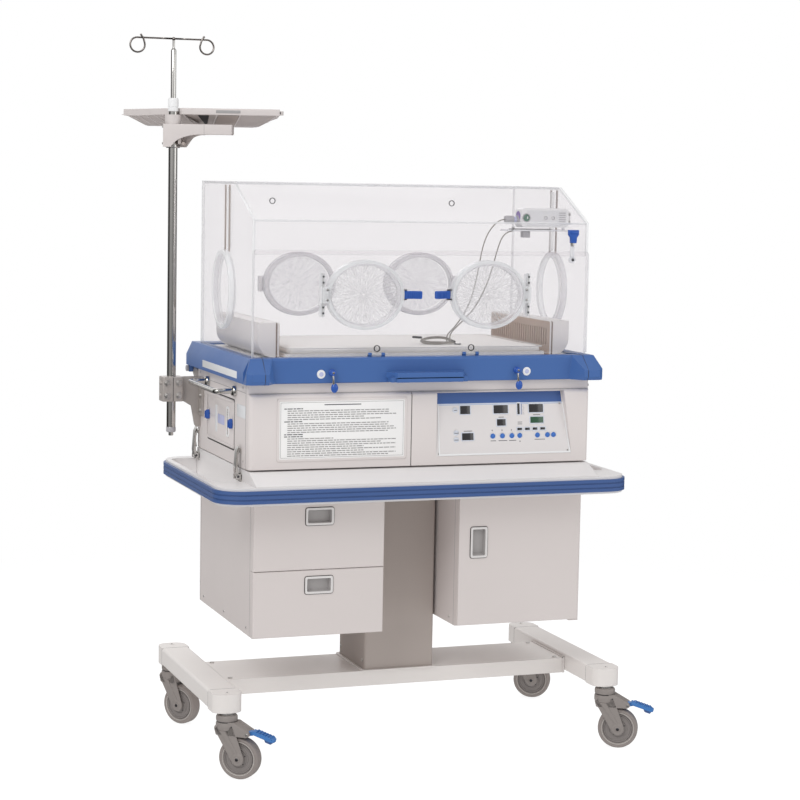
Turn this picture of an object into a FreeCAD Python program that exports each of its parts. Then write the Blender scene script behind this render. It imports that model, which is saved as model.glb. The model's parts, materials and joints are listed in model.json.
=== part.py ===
import FreeCAD, Part
import math
import os

# Infant incubator on its wheeled stand, in millimetres.
# X runs to the right, Y to the back, Z up. The model is drawn about the middle of the stand's
# column, on the floor, and moved at the end so that the origin is the middle of its footprint.

V = FreeCAD.Vector
X_AXIS, Y_AXIS, Z_AXIS = V(1, 0, 0), V(0, 1, 0), V(0, 0, 1)

# Clearances and fits
seat_gap = 0.3
running_fit = 0.05
panel_gap = 0.6

# Base frame and column
leg_half_span = 491
leg_width = 72
leg_height = 45
leg_length = 580
leg_bottom = 157
leg_cap_length = 60
leg_round = 14
beam_bottom = 152.7
beam_height = 38
beam_half_depth = 100
column_half_width = 91
column_half_depth = 100
column_round = 6

# Casters: wheel, fork, brake pedal
caster_y = 270
wheel_radius = 50
wheel_width = 30
hub_radius = 36
axle_radius = 5
caster_trail = 35
fork_cheek = 4
fork_wheel_gap = 2
fork_head_radius = 26
fork_head_bottom = 118
stem_radius = 8
stem_length = 20
axle_end_radius = 16
hood_clearance = 3
brake_reach = 64
pedal_length = 60
pedal_width = 26
pedal_thickness = 9
pedal_slope = 17
pedal_pin_radius = 2.5
pedal_pin_inset = 6
pedal_root_lift = 8
caster_headings = {"front_left": 38, "front_right": 28, "rear_left": 53, "rear_right": 30}
caster_signs = {"front_left": (-1, -1), "front_right": (1, -1), "rear_left": (-1, 1), "rear_right": (1, 1)}

# Stand head: closed tray, surrounding rail with its bumper, sloping front ledge
head_half_width = 437
head_front = -245
head_back = 238
head_bottom = 650
head_top = 720
rail_overhang = 85
rail_front = -315
rail_back = 275
rail_bottom = 650
rail_height = 42
rail_thickness = 14
rail_round = 60
rail_window_front = -200
rail_window_back = 237
ledge_drop = 26
bumper_thickness = 6
bumper_bottom = 655.5
bumper_height = 30.2
bumper_groove = 1.5
bumper_groove_width = 3

# Cabinets under the head
cabinet_inner_x = 97
cabinet_inset = 13
cabinet_front = -227
cabinet_back = 246
cabinet_bottom = 321
cabinet_wall = 6
front_thickness = 20
front_round = 3
drawer_split = 481
drawer_wall = 4
drawer_side_gap = 13
drawer_depth = 440
drawer_top_gap = 14
runner_height = 8
runner_above_split = 12
pull_width = 70
pull_height = 42
pull_depth = 12
pull_frame = 5
pull_proud = 2.5
drawer_pull_x = -261
drawer_pull_drop = 36
door_pull_x = 149
door_pull_z = 530
door_pull_width = 44
door_pull_height = 76
door_edge_gap = 4
pivot_radius = 3
pivot_plate = 3

# Housing of the incubator
housing_foot = 2.5
housing_foot_inset = 5
housing_top = 928
housing_wall = 6
cover_depth = 30
band_bottom = 903
band_front = -235
cover_bottom = 724
cover_split_x = -32
cover_seam = 2
cover_round = 10
label_recess = 1.5
label_side_margin, label_seam_margin = 68, 13
label_bottom, label_top = 743, 903
pocket_seam_margin, pocket_side_margin = 65, 46
pocket_taper = 23
pocket_bottom, pocket_top = 745, 900
pocket_recess = 22
panel_thickness = 2
key_radius = 7
key_height = 0.8
window_height = 0.6
filter_half_width = 90
filter_height = 110
filter_depth = 14
inlet_x = 200
inlet_rim = 6
inlet_width = 50
inlet_height = 32
inlet_depth = 12

# Humidifier drawer in the left side of the housing
tank_front_y, tank_back_y = -115, 131
tank_bottom, tank_top = 758, 876
tank_panel = 5.5
tank_wall = 4
tank_reach = 180
tank_height = 92
bay_shelf = 5
tank_knob_y = (-96, 117)
tank_knob_z = 818
tank_knob_half = (7, 12)
tank_knob_proud = 9
tank_knob_shaft = 3
gauge_y = -60
gauge_width = 10
gauge_bottom, gauge_top = 787, 851
gauge_depth = 2.5

# Side handles and toggle clamps
handle_boss_y = 124.5
handle_z = 900
handle_radius = 6.5
handle_reach = 50
handle_boss_radius = 13
handle_boss_length = 12
toggle_y = (-173, 222)
toggle_width = 18
toggle_pivot_z = 702
toggle_pivot_out = 9
toggle_length = 72
toggle_thickness = 4
toggle_pin = 2
keeper_width = 26
keeper_height = 26
keeper_plate = 3
catch_drop = 18

# Deck, fan and heater under the bed
deck_gap = 10
deck_front = -205
deck_back = 215
deck_top = 984
deck_wall = 4
slot_count = 7
slot_length = 38
slot_width = 8
slot_pitch = 50
slot_inset = 24
intake_radius = 60
fan_x = 60
motor_radius = 32
motor_height = 58
shaft_radius = 4
fan_radius = 70
fan_hub_radius = 22
fan_height = 24
fan_lift = 6
blade_count = 10
blade_thickness = 2.5
heater_radius = 92
heater_width = 8
heater_height = 12
heater_lift = 14
heater_foot = 3
heater_feet = 3

# Bed, with the air ducts at its two ends
bed_duct_gap = 13
bed_front = -200
bed_back = 190
tray_floor = 4
tray_rim = 10
mattress_height = 20
mattress_inset = 3
mattress_round = 8
duct_width = 53
duct_inset = 3
duct_height = 84
duct_panel = 9
duct_front, duct_back = -190, 190
duct_round = 40

# Blue rim that carries the hood
rim_overhang = 18
rim_shoulder = 15
rim_knee = 956
rim_top = 988
rim_lift = 0.4
rim_front = -250
rim_back = 285
rim_ledge = 15
rim_opening_front = -215
rim_opening_back = 225
rim_block_width = 79
rim_block_front = -290
rim_block_slope = 34
rim_block_chamfer = 26
grip_half_width = 102
grip_front = -285
grip_bottom, grip_top = 930, 953
grip_hollow = 12
badge_x = 264
badge_z = 949.5
badge_radius = 10.5
badge_proud = 2.5
hinge_y = 290
hinge_z = 918
hinge_lug_radius = 9
hinge_lug_gap = 0.5
hinge_lug_width = 9
hinge_bracket_width = 10
hinge_bracket_drop = 50
hinge_pin_radius = 4
hinge_knob_radius = 8
hinge_knob_length = 7

# Clear hood
hood_inset = 10
hood_front = -230
hood_back = 238
hood_top = 1398
hood_slant_top_y = -60
hood_slant_bottom_z = 1312
hood_wall = 6
hood_strip_bottom = 1230
tube_slot_width = 12
tube_slot_bottom, tube_slot_top = 1236, 1385
tube_slot_y = -13

# Oval hand ports
port_half = (96.5, 82.5)
port_z = 1137
port_x = 158
rear_port_x = 165
port_rim = 12
port_frame_depth = 18
port_door_rim = 8
port_door_depth = 7
port_pane = 3
cuff_depth = 4
cuff_setback = 6
port_hinge_offset = 8
port_hinge_radius = 5
port_pin_radius = 2
port_knuckle = 40
port_hinge_length = 104
port_hinge_base = 3
end_port_y = 0
end_port_depth = 14
latch_length = 41
latch_height = 19
latch_thickness = 6
latch_lean = 18
latch_pin = 2
latch_reach = 6

# Front access door and its lock
door_gap = 0.3
door_thickness = 6
door_top = 1242
door_bottom = 993
door_hinge_x = 121
door_knuckle = 24
rim_knuckle = 9
door_hinge_radius = 4.6
door_hinge_pin = 2
door_hinge_z = 993.6
lock_inset = 48
lock_z = 1275
lock_pivot_z = 1222
lock_width = 26
lock_thickness = 7
lock_pin = 3

# Rim levers that hold the hood down
lever_x = 237
lever_z = 953
lever_rod = 2.5
lever_drop = 30
lever_out = 13
lever_boss = 7
lever_knob = (9, 6, 11)

# Sensor module on the right end wall
module_length = 153
module_inset = 15
module_y = -120
module_depth = 44
module_bottom, module_top = 1298, 1345
plug_length = 40
plug_radius = 9

# Drip pole with its shelf and hooks
pole_out = 78
pole_y = 200
pole_radius = 12.5
pole_bore = 10
pole_bottom = 766
collar_bottom, collar_top = 1571, 1601
collar_radius = 15.5
clamp_bottom, clamp_top = 844, 906
clamp_half_width = 27
clamp_half_depth = 22
bracket_plate = 6
bracket_bottom = 775
shelf_turn = -23.5
shelf_width = 426
shelf_depth = 280
shelf_chamfer = 182
shelf_taper = 40
shelf_setback = 10
shelf_corner_along = 24
shelf_bottom = 1561
shelf_rim = 16
shelf_floor = 3
shelf_under_depth = 24
shelf_under_inset = 55
shelf_rib_count = 5
shelf_rib = 3
arm_bottom = 1480
arm_length = 150
arm_half_width = 20
arm_tip_height = 26
arm_clamp_radius = 21
rod_radius = 6.7
rod_bottom = 1300
rod_top = 1722
neck_radius = 3
hook_z = 1747
hook_half_span = 84
hook_wire = 2.3
hook_loop = 18
hook_sweep = 285

# Sensor leads: route points from the module's plug and from its body down to the coil on the mattress
lead_radius = 1.5
lead_points = [(252, -120, 1316), (240, -120, 1316), (222, -122, 1303), (203, -125, 1280), (189, -130, 1246),
               (179, -136, 1205), (168, -142, 1160), (154, -146, 1115), (134, -146, 1078), (112, -142, 1048),
               (97, -136, 1032), (97, -136, 1016.6)]
second_lead_points = [(272, -128, 1298), (272, -128, 1288), (256, -128, 1286), (240, -130, 1272),
                      (228, -134, 1244), (216, -138, 1206), (204, -142, 1172), (188, -146, 1138),
                      (164, -148, 1098), (140, -147, 1072), (118, -146, 1052), (103, -141, 1034),
                      (103, -141, 1016.6)]
coil_centre = (70, -128)
coil_half = (52, 30)
coil_hole = (26, 10)
coil_height = 8

# Derived places used by several pieces
rail_half_width = head_half_width + rail_overhang
cabinet_outer_x = head_half_width - cabinet_inset
rim_half_width = head_half_width + rim_overhang
rim_top_half_width = rim_half_width - rim_shoulder
rim_block_inner = rim_half_width - rim_block_width
hood_half_width = rim_top_half_width - hood_inset
rim_opening_half_width = hood_half_width - rim_ledge
deck_half_width = rim_opening_half_width - deck_gap
duct_outer_x = deck_half_width - duct_inset
duct_inner_x = duct_outer_x - duct_width
bed_half_width = duct_inner_x - bed_duct_gap
hinge_lug_inner = head_half_width + hinge_lug_gap
lock_x = hood_half_width - lock_inset
module_right = hood_half_width - module_inset
module_left = module_right - module_length
pole_x = -head_half_width - pole_out
label_left = -head_half_width + label_side_margin
label_right = cover_split_x - label_seam_margin
pocket_left = cover_split_x + pocket_seam_margin
pocket_right_bottom = head_half_width - pocket_side_margin
pocket_right_top = pocket_right_bottom - pocket_taper
beam_top = beam_bottom + beam_height
leg_top = leg_bottom + leg_height
cheek_inner = wheel_width / 2 + fork_wheel_gap
cheek_outer = cheek_inner + fork_cheek
core_front = head_front + cover_depth
housing_floor = head_top + housing_foot
bed_base = deck_top
mattress_bottom = bed_base + tray_floor + seat_gap
duct_bottom = deck_top
fan_bottom = housing_top + deck_wall + fan_lift
door_face = hood_front - door_gap - door_thickness
door_hinge_y = door_face + door_thickness / 2
pedal_pin_x = brake_reach - pedal_pin_inset
pedal_root_z = wheel_radius * 2 + hood_clearance + pedal_root_lift
port_frame_front = door_face - port_frame_depth
bore_gap = running_fit


def box(x0, x1, y0, y1, z0, z1):
    return Part.makeBox(x1 - x0, y1 - y0, z1 - z0, V(x0, y0, z0))


def cylinder(radius, length, base, axis):
    return Part.makeCylinder(radius, length, V(*base), axis)


def polygon_face(points):
    wire = Part.makePolygon([V(*p) for p in points + [points[0]]])
    return Part.Face(wire)


def prism_x(points, x0, x1):
    """Outline in Y and Z, carried along X."""
    return polygon_face([(x0, y, z) for y, z in points]).extrude(V(x1 - x0, 0, 0))


def prism_y(points, y0, y1):
    """Outline in X and Z, carried along Y."""
    return polygon_face([(x, y0, z) for x, z in points]).extrude(V(0, y1 - y0, 0))


def prism_z(points, z0, z1):
    """Outline in X and Y, carried along Z."""
    return polygon_face([(x, y, z0) for x, y in points]).extrude(V(0, 0, z1 - z0))


def edges_along(shape, axis):
    """Straight edges of a shape that run along one axis."""
    found = []
    for edge in shape.Edges:
        if isinstance(edge.Curve, Part.Line) and abs(edge.Curve.Direction.dot(axis)) > 0.999:
            found.append(edge)
    return found


def rounded_box(x0, x1, y0, y1, z0, z1, radius, axis=Z_AXIS):
    block = box(x0, x1, y0, y1, z0, z1)
    return block.makeFillet(radius, edges_along(block, axis))


def oval(half, centre, normal_y, depth):
    """Elliptical disc in the X-Z plane, from centre along Y by depth."""
    if half[0] >= half[1]:
        ellipse = Part.Ellipse(V(0, 0, 0), half[0], half[1])
    else:
        ellipse = Part.Ellipse(V(0, half[1], 0), V(half[0], 0, 0), V(0, 0, 0))
    face = Part.Face(Part.Wire(ellipse.toShape()))
    face.rotate(V(0, 0, 0), X_AXIS, 90)
    face.translate(V(*centre))
    return face.extrude(V(0, normal_y * depth, 0))


def smaller(half, by):
    return (half[0] - by, half[1] - by)


def mirrored_x(shape):
    return shape.mirror(V(0, 0, 0), X_AXIS)


def turned(shape, centre, axis, degrees):
    moved = shape.copy()
    moved.rotate(V(*centre), axis, degrees)
    return moved


# Base: two legs with plastic end caps, joined by a cross beam under the column
def base_frame():
    half_width = leg_width / 2
    half_length = leg_length / 2
    tube_half = half_length - leg_cap_length
    solids = []
    for side in (-1, 1):
        x0, x1 = side * leg_half_span - half_width, side * leg_half_span + half_width
        solids.append(rounded_box(x0, x1, -tube_half, tube_half, leg_bottom, leg_top, leg_round / 2, Y_AXIS))
        for end in (-1, 1):
            y0, y1 = sorted((end * tube_half, end * half_length))
            cap = box(x0, x1, y0, y1, leg_bottom, leg_top)
            corners = [e for e in edges_along(cap, Z_AXIS) if abs(e.CenterOfMass.y) > half_length - 1]
            cap = cap.makeFillet(leg_round * 2, corners)
            socket = cylinder(stem_radius + bore_gap, stem_length + seat_gap,
                              (side * leg_half_span, end * caster_y, leg_bottom), Z_AXIS)
            solids.append(cap.cut(socket))
    inner = leg_half_span - half_width
    solids.append(box(-inner, inner, -beam_half_depth, beam_half_depth, beam_bottom, beam_top))
    return solids


def column():
    return [rounded_box(-column_half_width, column_half_width, -column_half_depth, column_half_depth,
                        beam_top, head_bottom, column_round)]


# Casters are drawn with the stem at the origin and the wheel towards +X, then turned to their heading
def fork_arm(y0, y1):
    slot = polygon_face([(-fork_head_radius, y0, fork_head_bottom), (fork_head_radius, y0, fork_head_bottom),
                         (caster_trail + axle_end_radius, y0, wheel_radius),
                         (caster_trail - axle_end_radius, y0, wheel_radius)]).extrude(V(0, y1 - y0, 0))
    eye = cylinder(axle_end_radius, y1 - y0, (caster_trail, y0, wheel_radius), Y_AXIS)
    return slot.fuse(eye)


def fork(has_brake):
    body = cylinder(fork_head_radius, leg_bottom - fork_head_bottom - seat_gap, (0, 0, fork_head_bottom), Z_AXIS)
    body = body.makeChamfer(3, [e for e in body.Edges if e.CenterOfMass.z > fork_head_bottom + 1
                                and isinstance(e.Curve, Part.Circle)])
    body = body.fuse(cylinder(stem_radius, stem_length + seat_gap, (0, 0, leg_bottom - seat_gap), Z_AXIS))
    hood_bottom = wheel_radius * 2 + hood_clearance
    reach = brake_reach if has_brake else fork_head_radius + hood_clearance
    crown = prism_y([(-fork_head_radius + 2, fork_head_bottom), (-fork_head_radius + 8, hood_bottom),
                     (reach - 6, hood_bottom), (reach, hood_bottom + 5), (reach - 2, hood_bottom + 14),
                     (fork_head_radius, fork_head_bottom + 18)], -cheek_outer, cheek_outer)
    body = body.fuse(crown)
    for side in (-1, 1):
        y0, y1 = sorted((side * cheek_inner, side * cheek_outer))
        body = body.fuse(fork_arm(y0, y1))
    body = body.fuse(cylinder(axle_radius, 2 * cheek_outer + 4,
                              (caster_trail, -cheek_outer - 2, wheel_radius), Y_AXIS))
    if has_brake:
        body = body.cut(pedal_slot()).fuse(pedal_pin(pedal_pin_radius))
    return body.removeSplitter()


def pedal_slot():
    """Room in the end of the brake hood for the pedal's root, and its pin holes."""
    return box(brake_reach - 16, brake_reach + 1, -pedal_width / 2 + 4 - panel_gap, pedal_width / 2 - 4 + panel_gap,
               wheel_radius * 2 + hood_clearance + 1.5, leg_bottom)


def pedal_pin(radius):
    """Pin across the walls of the brake hood; the pedal turns on it."""
    return cylinder(radius, 2 * cheek_outer, (pedal_pin_x, -cheek_outer, pedal_root_z), Y_AXIS)


def brake_pedal():
    root_z = pedal_root_z
    root = box(brake_reach - 12, brake_reach + 6, -pedal_width / 2 + 4, pedal_width / 2 - 4,
               root_z - 4, root_z + 6)
    pad = rounded_box(brake_reach + 1, brake_reach + pedal_length, -pedal_width / 2, pedal_width / 2,
                      root_z, root_z + pedal_thickness, 4)
    for k in range(6):
        x0 = brake_reach + 10 + 8 * k
        pad = pad.fuse(box(x0, x0 + 3, -pedal_width / 2 + 2, pedal_width / 2 - 2,
                           root_z + pedal_thickness, root_z + pedal_thickness + 2))
    pad = turned(pad, (brake_reach, 0, root_z), Y_AXIS, pedal_slope)
    return root.fuse(pad).removeSplitter().cut(pedal_pin(pedal_pin_radius + bore_gap))


def wheel():
    """Tyre and hub as two solids on one axle, turned from their outlines."""
    half = wheel_width / 2
    crown = 4
    tyre_outline = [(hub_radius, -half + 2), (wheel_radius - crown, -half), (wheel_radius, -half + crown),
                    (wheel_radius, half - crown), (wheel_radius - crown, half), (hub_radius, half - 2)]
    hub_outline = [(axle_radius + bore_gap, -half), (12, -half), (14, -half + 3), (hub_radius - 5, -half + 5),
                   (hub_radius, -half + 2), (hub_radius, half - 2), (hub_radius - 5, half - 5), (14, half - 3),
                   (12, half), (axle_radius + bore_gap, half)]
    solids = []
    for outline in (tyre_outline, hub_outline):
        face = polygon_face([(r, y, 0) for r, y in outline])
        ring = face.revolve(V(0, 0, 0), Y_AXIS, 360)
        ring.translate(V(caster_trail, 0, wheel_radius))
        solids.append(ring)
    return solids


def at_caster(solids, name):
    sx, sy = caster_signs[name]
    placed = []
    for solid in solids:
        turned_solid = turned(solid, (0, 0, 0), Z_AXIS, -caster_headings[name])
        turned_solid.translate(V(sx * leg_half_span, sy * caster_y, 0))
        placed.append(turned_solid)
    return placed


# Stand head: tray, rail ring with webs to the tray, sloping ledge in front
def stand_head():
    tray = rounded_box(-head_half_width, head_half_width, head_front, head_back, head_bottom, head_top, 4)
    ring = rounded_box(-rail_half_width, rail_half_width, rail_front, rail_back,
                       rail_bottom, rail_bottom + rail_height, rail_round)
    window_x = rail_half_width - rail_thickness
    window = rounded_box(-window_x, window_x, rail_window_front, rail_window_back,
                         rail_bottom - 1, rail_bottom + rail_height + 1, 24)
    ring = ring.cut(window).cut(box(-head_half_width, head_half_width, head_front, head_back,
                                    rail_bottom - 1, rail_bottom + rail_height + 1))
    rail_top = rail_bottom + rail_height
    ledge = prism_x([(head_front, rail_top), (head_front, head_top), (rail_front + 6, head_top - ledge_drop),
                     (rail_front + 6, rail_top)], -head_half_width, head_half_width)
    return [tray, ring, ledge]


def rail_bumper():
    """Blue strip all round the rail, with two fine grooves along it."""
    def ring(grow, z0, z1):
        outer = rounded_box(-rail_half_width - grow, rail_half_width + grow, rail_front - grow, rail_back + grow,
                            z0, z1, rail_round + grow)
        return outer.cut(rounded_box(-rail_half_width, rail_half_width, rail_front, rail_back,
                                     z0, z1, rail_round))
    land = (bumper_height - 2 * bumper_groove_width) / 3
    step = land + bumper_groove_width
    bumper = ring(bumper_thickness - bumper_groove, bumper_bottom, bumper_bottom + bumper_height)
    for k in range(3):
        z0 = bumper_bottom + k * step
        bumper = bumper.fuse(ring(bumper_thickness, z0, z0 + land))
    return [bumper.removeSplitter()]


# Cabinets: carcass with an open front
def carcass(x0, x1):
    shell = box(x0, x1, cabinet_front, cabinet_back, cabinet_bottom, head_bottom)
    w = cabinet_wall
    return shell.cut(box(x0 + w, x1 - w, cabinet_front - 1, cabinet_back - w, cabinet_bottom + w, head_bottom - w))


def drawer_levels():
    """Lower and upper edge of each drawer front."""
    return {"lower": (cabinet_bottom, drawer_split - panel_gap),
            "upper": (drawer_split + panel_gap, head_bottom - door_edge_gap)}


def drawer_cabinet():
    x0, x1 = -cabinet_outer_x, -cabinet_inner_x
    body = carcass(x0, x1)
    for z0, _ in drawer_levels().values():
        top = z0 + runner_above_split
        for side_x0 in (x0 + cabinet_wall, x1 - cabinet_wall - drawer_side_gap):
            body = body.fuse(box(side_x0, side_x0 + drawer_side_gap, cabinet_front + 4, cabinet_back - cabinet_wall,
                                 top - runner_height, top))
    return [body.removeSplitter()]


def pull_frame_ring(x, z, width, height):
    """Raised frame of a recessed pull, on the face of a front."""
    y1 = cabinet_front - front_thickness
    y0 = y1 - pull_proud
    outer = rounded_box(x - width / 2, x + width / 2, y0, y1, z - height / 2, z + height / 2, 5, Y_AXIS)
    return outer.cut(pull_hollow(x, z, width, height))


def pull_hollow(x, z, width, height):
    y1 = cabinet_front - front_thickness
    w, h = width / 2 - pull_frame, height / 2 - pull_frame
    return box(x - w, x + w, y1 - pull_proud - 1, y1 + pull_depth, z - h, z + h)


def front_panel(x0, x1, z0, z1, pull):
    y0 = cabinet_front - front_thickness
    panel = box(x0, x1, y0, cabinet_front - panel_gap, z0, z1)
    panel = panel.makeFillet(front_round, [e for e in panel.Edges if abs(e.CenterOfMass.y - y0) < 0.01])
    return panel.cut(pull_hollow(*pull)).fuse(pull_frame_ring(*pull))


def drawer(level):
    z0, z1 = drawer_levels()[level]
    x0, x1 = -cabinet_outer_x, -cabinet_inner_x
    pull = (drawer_pull_x, z1 - drawer_pull_drop, pull_width, pull_height)
    front = front_panel(x0, x1, z0, z1, pull)
    gap = cabinet_wall + drawer_side_gap
    floor = z0 + runner_above_split + seat_gap
    bx0, bx1 = x0 + cabinet_wall + 2, x1 - cabinet_wall - 2
    tray = box(bx0, bx1, cabinet_front - panel_gap, cabinet_front + drawer_depth, floor, z1 - drawer_top_gap - 6)
    w = drawer_wall
    inside = box(bx0 + w, bx1 - w, cabinet_front - panel_gap, cabinet_front + drawer_depth - w, floor + w, z1)
    tray = tray.cut(inside)
    keel = box(x0 + gap + 1, x1 - gap - 1, cabinet_front - panel_gap, cabinet_front + drawer_depth,
               floor - runner_height / 2, floor)
    return [front.fuse(tray).fuse(keel).removeSplitter()]


def door_cabinet():
    x0, x1 = cabinet_inner_x, cabinet_outer_x
    body = carcass(x0, x1)
    body = body.fuse(box(x0 + cabinet_wall, x1 - cabinet_wall, cabinet_front + 30, cabinet_back - cabinet_wall,
                         drawer_split - cabinet_wall / 2, drawer_split + cabinet_wall / 2))
    px, py = door_pivot()
    for z0, pin_z in ((cabinet_bottom, cabinet_bottom + pivot_plate),
                      (head_bottom - pivot_plate, head_bottom - pivot_plate - 8)):
        plate = box(px - 16, x1 - 1, py - 5, cabinet_front, z0, z0 + pivot_plate)
        body = body.fuse(plate).fuse(cylinder(pivot_radius, 8, (px, py, pin_z), Z_AXIS))
    return [body.removeSplitter()]


def door_pivot():
    thickness = front_thickness - panel_gap
    return cabinet_outer_x - thickness / 2, cabinet_front - panel_gap - thickness / 2


def cabinet_door():
    z0 = cabinet_bottom + pivot_plate + 1
    z1 = head_bottom - pivot_plate - 1
    thickness = front_thickness - panel_gap
    y0 = cabinet_front - front_thickness
    px, py = door_pivot()
    pull = (door_pull_x, door_pull_z, door_pull_width, door_pull_height)
    panel = box(cabinet_inner_x, px, y0, y0 + thickness, z0, z1)
    panel = panel.fuse(cylinder(thickness / 2, z1 - z0, (px, py, z0), Z_AXIS)).removeSplitter()
    panel = panel.cut(pull_hollow(*pull)).fuse(pull_frame_ring(*pull))
    for z in (z0, z1 - 8):
        panel = panel.cut(cylinder(pivot_radius + bore_gap, 8, (px, py, z), Z_AXIS))
    return [panel.removeSplitter()]


# Housing: open moulded shell with a stepped front, the humidifier bay, and its rear fittings
def housing_shell():
    w = head_half_width
    core = prism_x([(core_front, housing_floor), (core_front, band_bottom), (band_front, band_bottom),
                    (band_front, housing_top), (head_back, housing_top), (head_back, housing_floor)], -w, w)
    back_edges = [e for e in edges_along(core, Z_AXIS) if e.CenterOfMass.y > head_back - 1]
    core = core.makeFillet(cover_round, back_edges)
    i = w - housing_wall
    core = core.cut(box(-i, i, core_front + housing_wall, head_back - housing_wall,
                        housing_floor + housing_wall, housing_top - housing_wall))
    core = core.cut(cylinder(motor_radius, housing_wall + 2, (fan_x, 0, housing_top - housing_wall - 1), Z_AXIS))
    inset = housing_foot_inset
    core = core.fuse(box(-w + inset, w - inset, core_front, head_back - inset, head_top, housing_floor))
    shelf = box(-i - 0.5, -i + tank_reach, tank_front_y - 6, tank_back_y + 6,
                tank_bottom - panel_gap - bay_shelf, tank_bottom - panel_gap)
    core = core.fuse(shelf)
    opening = box(-w - 1, -i + 1, tank_front_y - panel_gap, tank_back_y + panel_gap,
                  tank_bottom - panel_gap, tank_top + panel_gap)
    core = core.cut(opening)
    for side in (-1, 1):
        for y in (-handle_boss_y, handle_boss_y):
            core = core.cut(cylinder(3, housing_wall + 2, (side * (w - housing_wall - 1), y, handle_z),
                                     X_AXIS * side))
    return [core.removeSplitter()] + rear_fittings()


def rear_fittings():
    """Air filter cover with ribs, and the mains inlet."""
    z0 = housing_floor + 40
    cover = rounded_box(-filter_half_width, filter_half_width, head_back, head_back + filter_depth,
                        z0, z0 + filter_height, 8, Y_AXIS)
    for k in range(6):
        z = z0 + 16 + 14 * k
        cover = cover.cut(box(-filter_half_width + 20, filter_half_width - 20, head_back + filter_depth - 4,
                              head_back + filter_depth + 1, z, z + 6))
    x0, x1 = inlet_x, inlet_x + inlet_width
    inlet = box(x0, x1, head_back, head_back + inlet_depth, z0, z0 + inlet_height)
    inlet = inlet.cut(box(x0 + inlet_rim, x1 - inlet_rim, head_back + 2, head_back + inlet_depth + 1,
                          z0 + inlet_rim, z0 + inlet_height - inlet_rim))
    return [cover, inlet]


def cover_block(x0, x1, round_edges):
    """Front cover with a rounded top edge and a rounded outer corner."""
    block = box(x0, x1, head_front, core_front, cover_bottom, band_bottom)
    edges = []
    for e in block.Edges:
        c = e.CenterOfMass
        top_front = abs(c.y - head_front) < 0.01 and abs(c.z - band_bottom) < 0.01
        corner = abs(c.y - head_front) < 0.01 and round_edges(c.x) and abs(c.z - band_bottom) > 1
        if top_front or (corner and abs(c.z - cover_bottom) > 1):
            edges.append(e)
    return block.makeFillet(cover_round, edges)


def instruction_cover():
    block = cover_block(-head_half_width, cover_split_x - cover_seam / 2, lambda x: x < -head_half_width + 1)
    label = box(label_left, label_right, head_front - 1, head_front + label_recess,
                label_bottom, label_top - cover_round - 2)
    return [block.cut(label)]


def panel_slope():
    return math.degrees(math.atan2(pocket_recess, pocket_top - pocket_bottom))


def panel_wedge(extra):
    """Space in front of the sloping control panel; extra moves its plane back."""
    outline = prism_y([(pocket_left, pocket_bottom), (pocket_right_bottom, pocket_bottom),
                       (pocket_right_top, pocket_top), (pocket_left, pocket_top)],
                      head_front - 1, core_front)
    wedge = prism_x([(head_front - 2, pocket_bottom), (head_front + extra, pocket_bottom),
                     (head_front + pocket_recess + extra, pocket_top), (head_front - 2, pocket_top)],
                    pocket_left - 1, pocket_right_bottom + 1)
    return wedge.common(outline)


def control_cover():
    block = cover_block(cover_split_x + cover_seam / 2, head_half_width, lambda x: x > head_half_width - 1)
    return [block.cut(panel_wedge(panel_thickness))]


# Control panel: sloping plate with display windows and round membrane keys
display_windows = [(58, 94, 822, 846), (62, 100, 758, 780), (146, 182, 826, 850), (158, 184, 786, 804),
                   (212, 220, 822, 852), (240, 284, 826, 850), (246, 286, 792, 810)]
small_windows = [(212, 226), (232, 246), (252, 266), (272, 286)]
small_window_z = (768, 780)
key_row = [(146, 753), (172, 753), (198, 754), (222, 755), (268, 755), (296, 756), (312, 756)]
side_keys = [(48, 836), (52, 770), (52, 754)]


def panel_point(z, proud):
    """Y of the panel's face at a height, moved outwards by proud."""
    share = (z - pocket_bottom) / (pocket_top - pocket_bottom)
    return head_front + pocket_recess * share - proud


def control_panel():
    plate = panel_wedge(panel_thickness).cut(panel_wedge(0))
    face_tilt = -panel_slope()
    for x0, x1, z0, z1 in display_windows + [(a, b) + small_window_z for a, b in small_windows]:
        mid = (z0 + z1) / 2
        window = box(x0, x1, panel_point(mid, window_height), panel_point(mid, -1), z0, z1)
        plate = plate.fuse(turned(window, (0, panel_point(mid, 0), mid), X_AXIS, face_tilt))
    for x, z in key_row + side_keys:
        key = cylinder(key_radius, key_height + 1, (x, panel_point(z, key_height), z), Y_AXIS)
        plate = plate.fuse(turned(key, (0, panel_point(z, 0), z), X_AXIS, face_tilt))
    return [plate.removeSplitter()]


# Humidifier drawer: front panel with the water gauge, and the water tank behind it
def humidifier_drawer():
    x0 = -head_half_width - 0.5
    panel = rounded_box(x0, x0 + tank_panel, tank_front_y, tank_back_y, tank_bottom, tank_top, 4, X_AXIS)
    panel = panel.cut(box(x0 - 1, x0 + gauge_depth, gauge_y - gauge_width / 2, gauge_y + gauge_width / 2,
                          gauge_bottom, gauge_top))
    tx0 = x0 + tank_panel
    tx1 = -head_half_width + tank_reach
    z0 = tank_bottom - panel_gap + seat_gap
    tank = box(tx0, tx1, tank_front_y + 4, tank_back_y - 4, z0, z0 + tank_height)
    w = tank_wall
    tank = tank.cut(box(tx0 + 1, tx1 - w, tank_front_y + 4 + w, tank_back_y - 4 - w, z0 + w, z0 + tank_height + 1))
    body = panel.fuse(tank).removeSplitter()
    for y in tank_knob_y:
        body = body.cut(cylinder(tank_knob_shaft + bore_gap, tank_panel + 4, (x0 - 1, y, tank_knob_z), X_AXIS))
    return [body]


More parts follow.
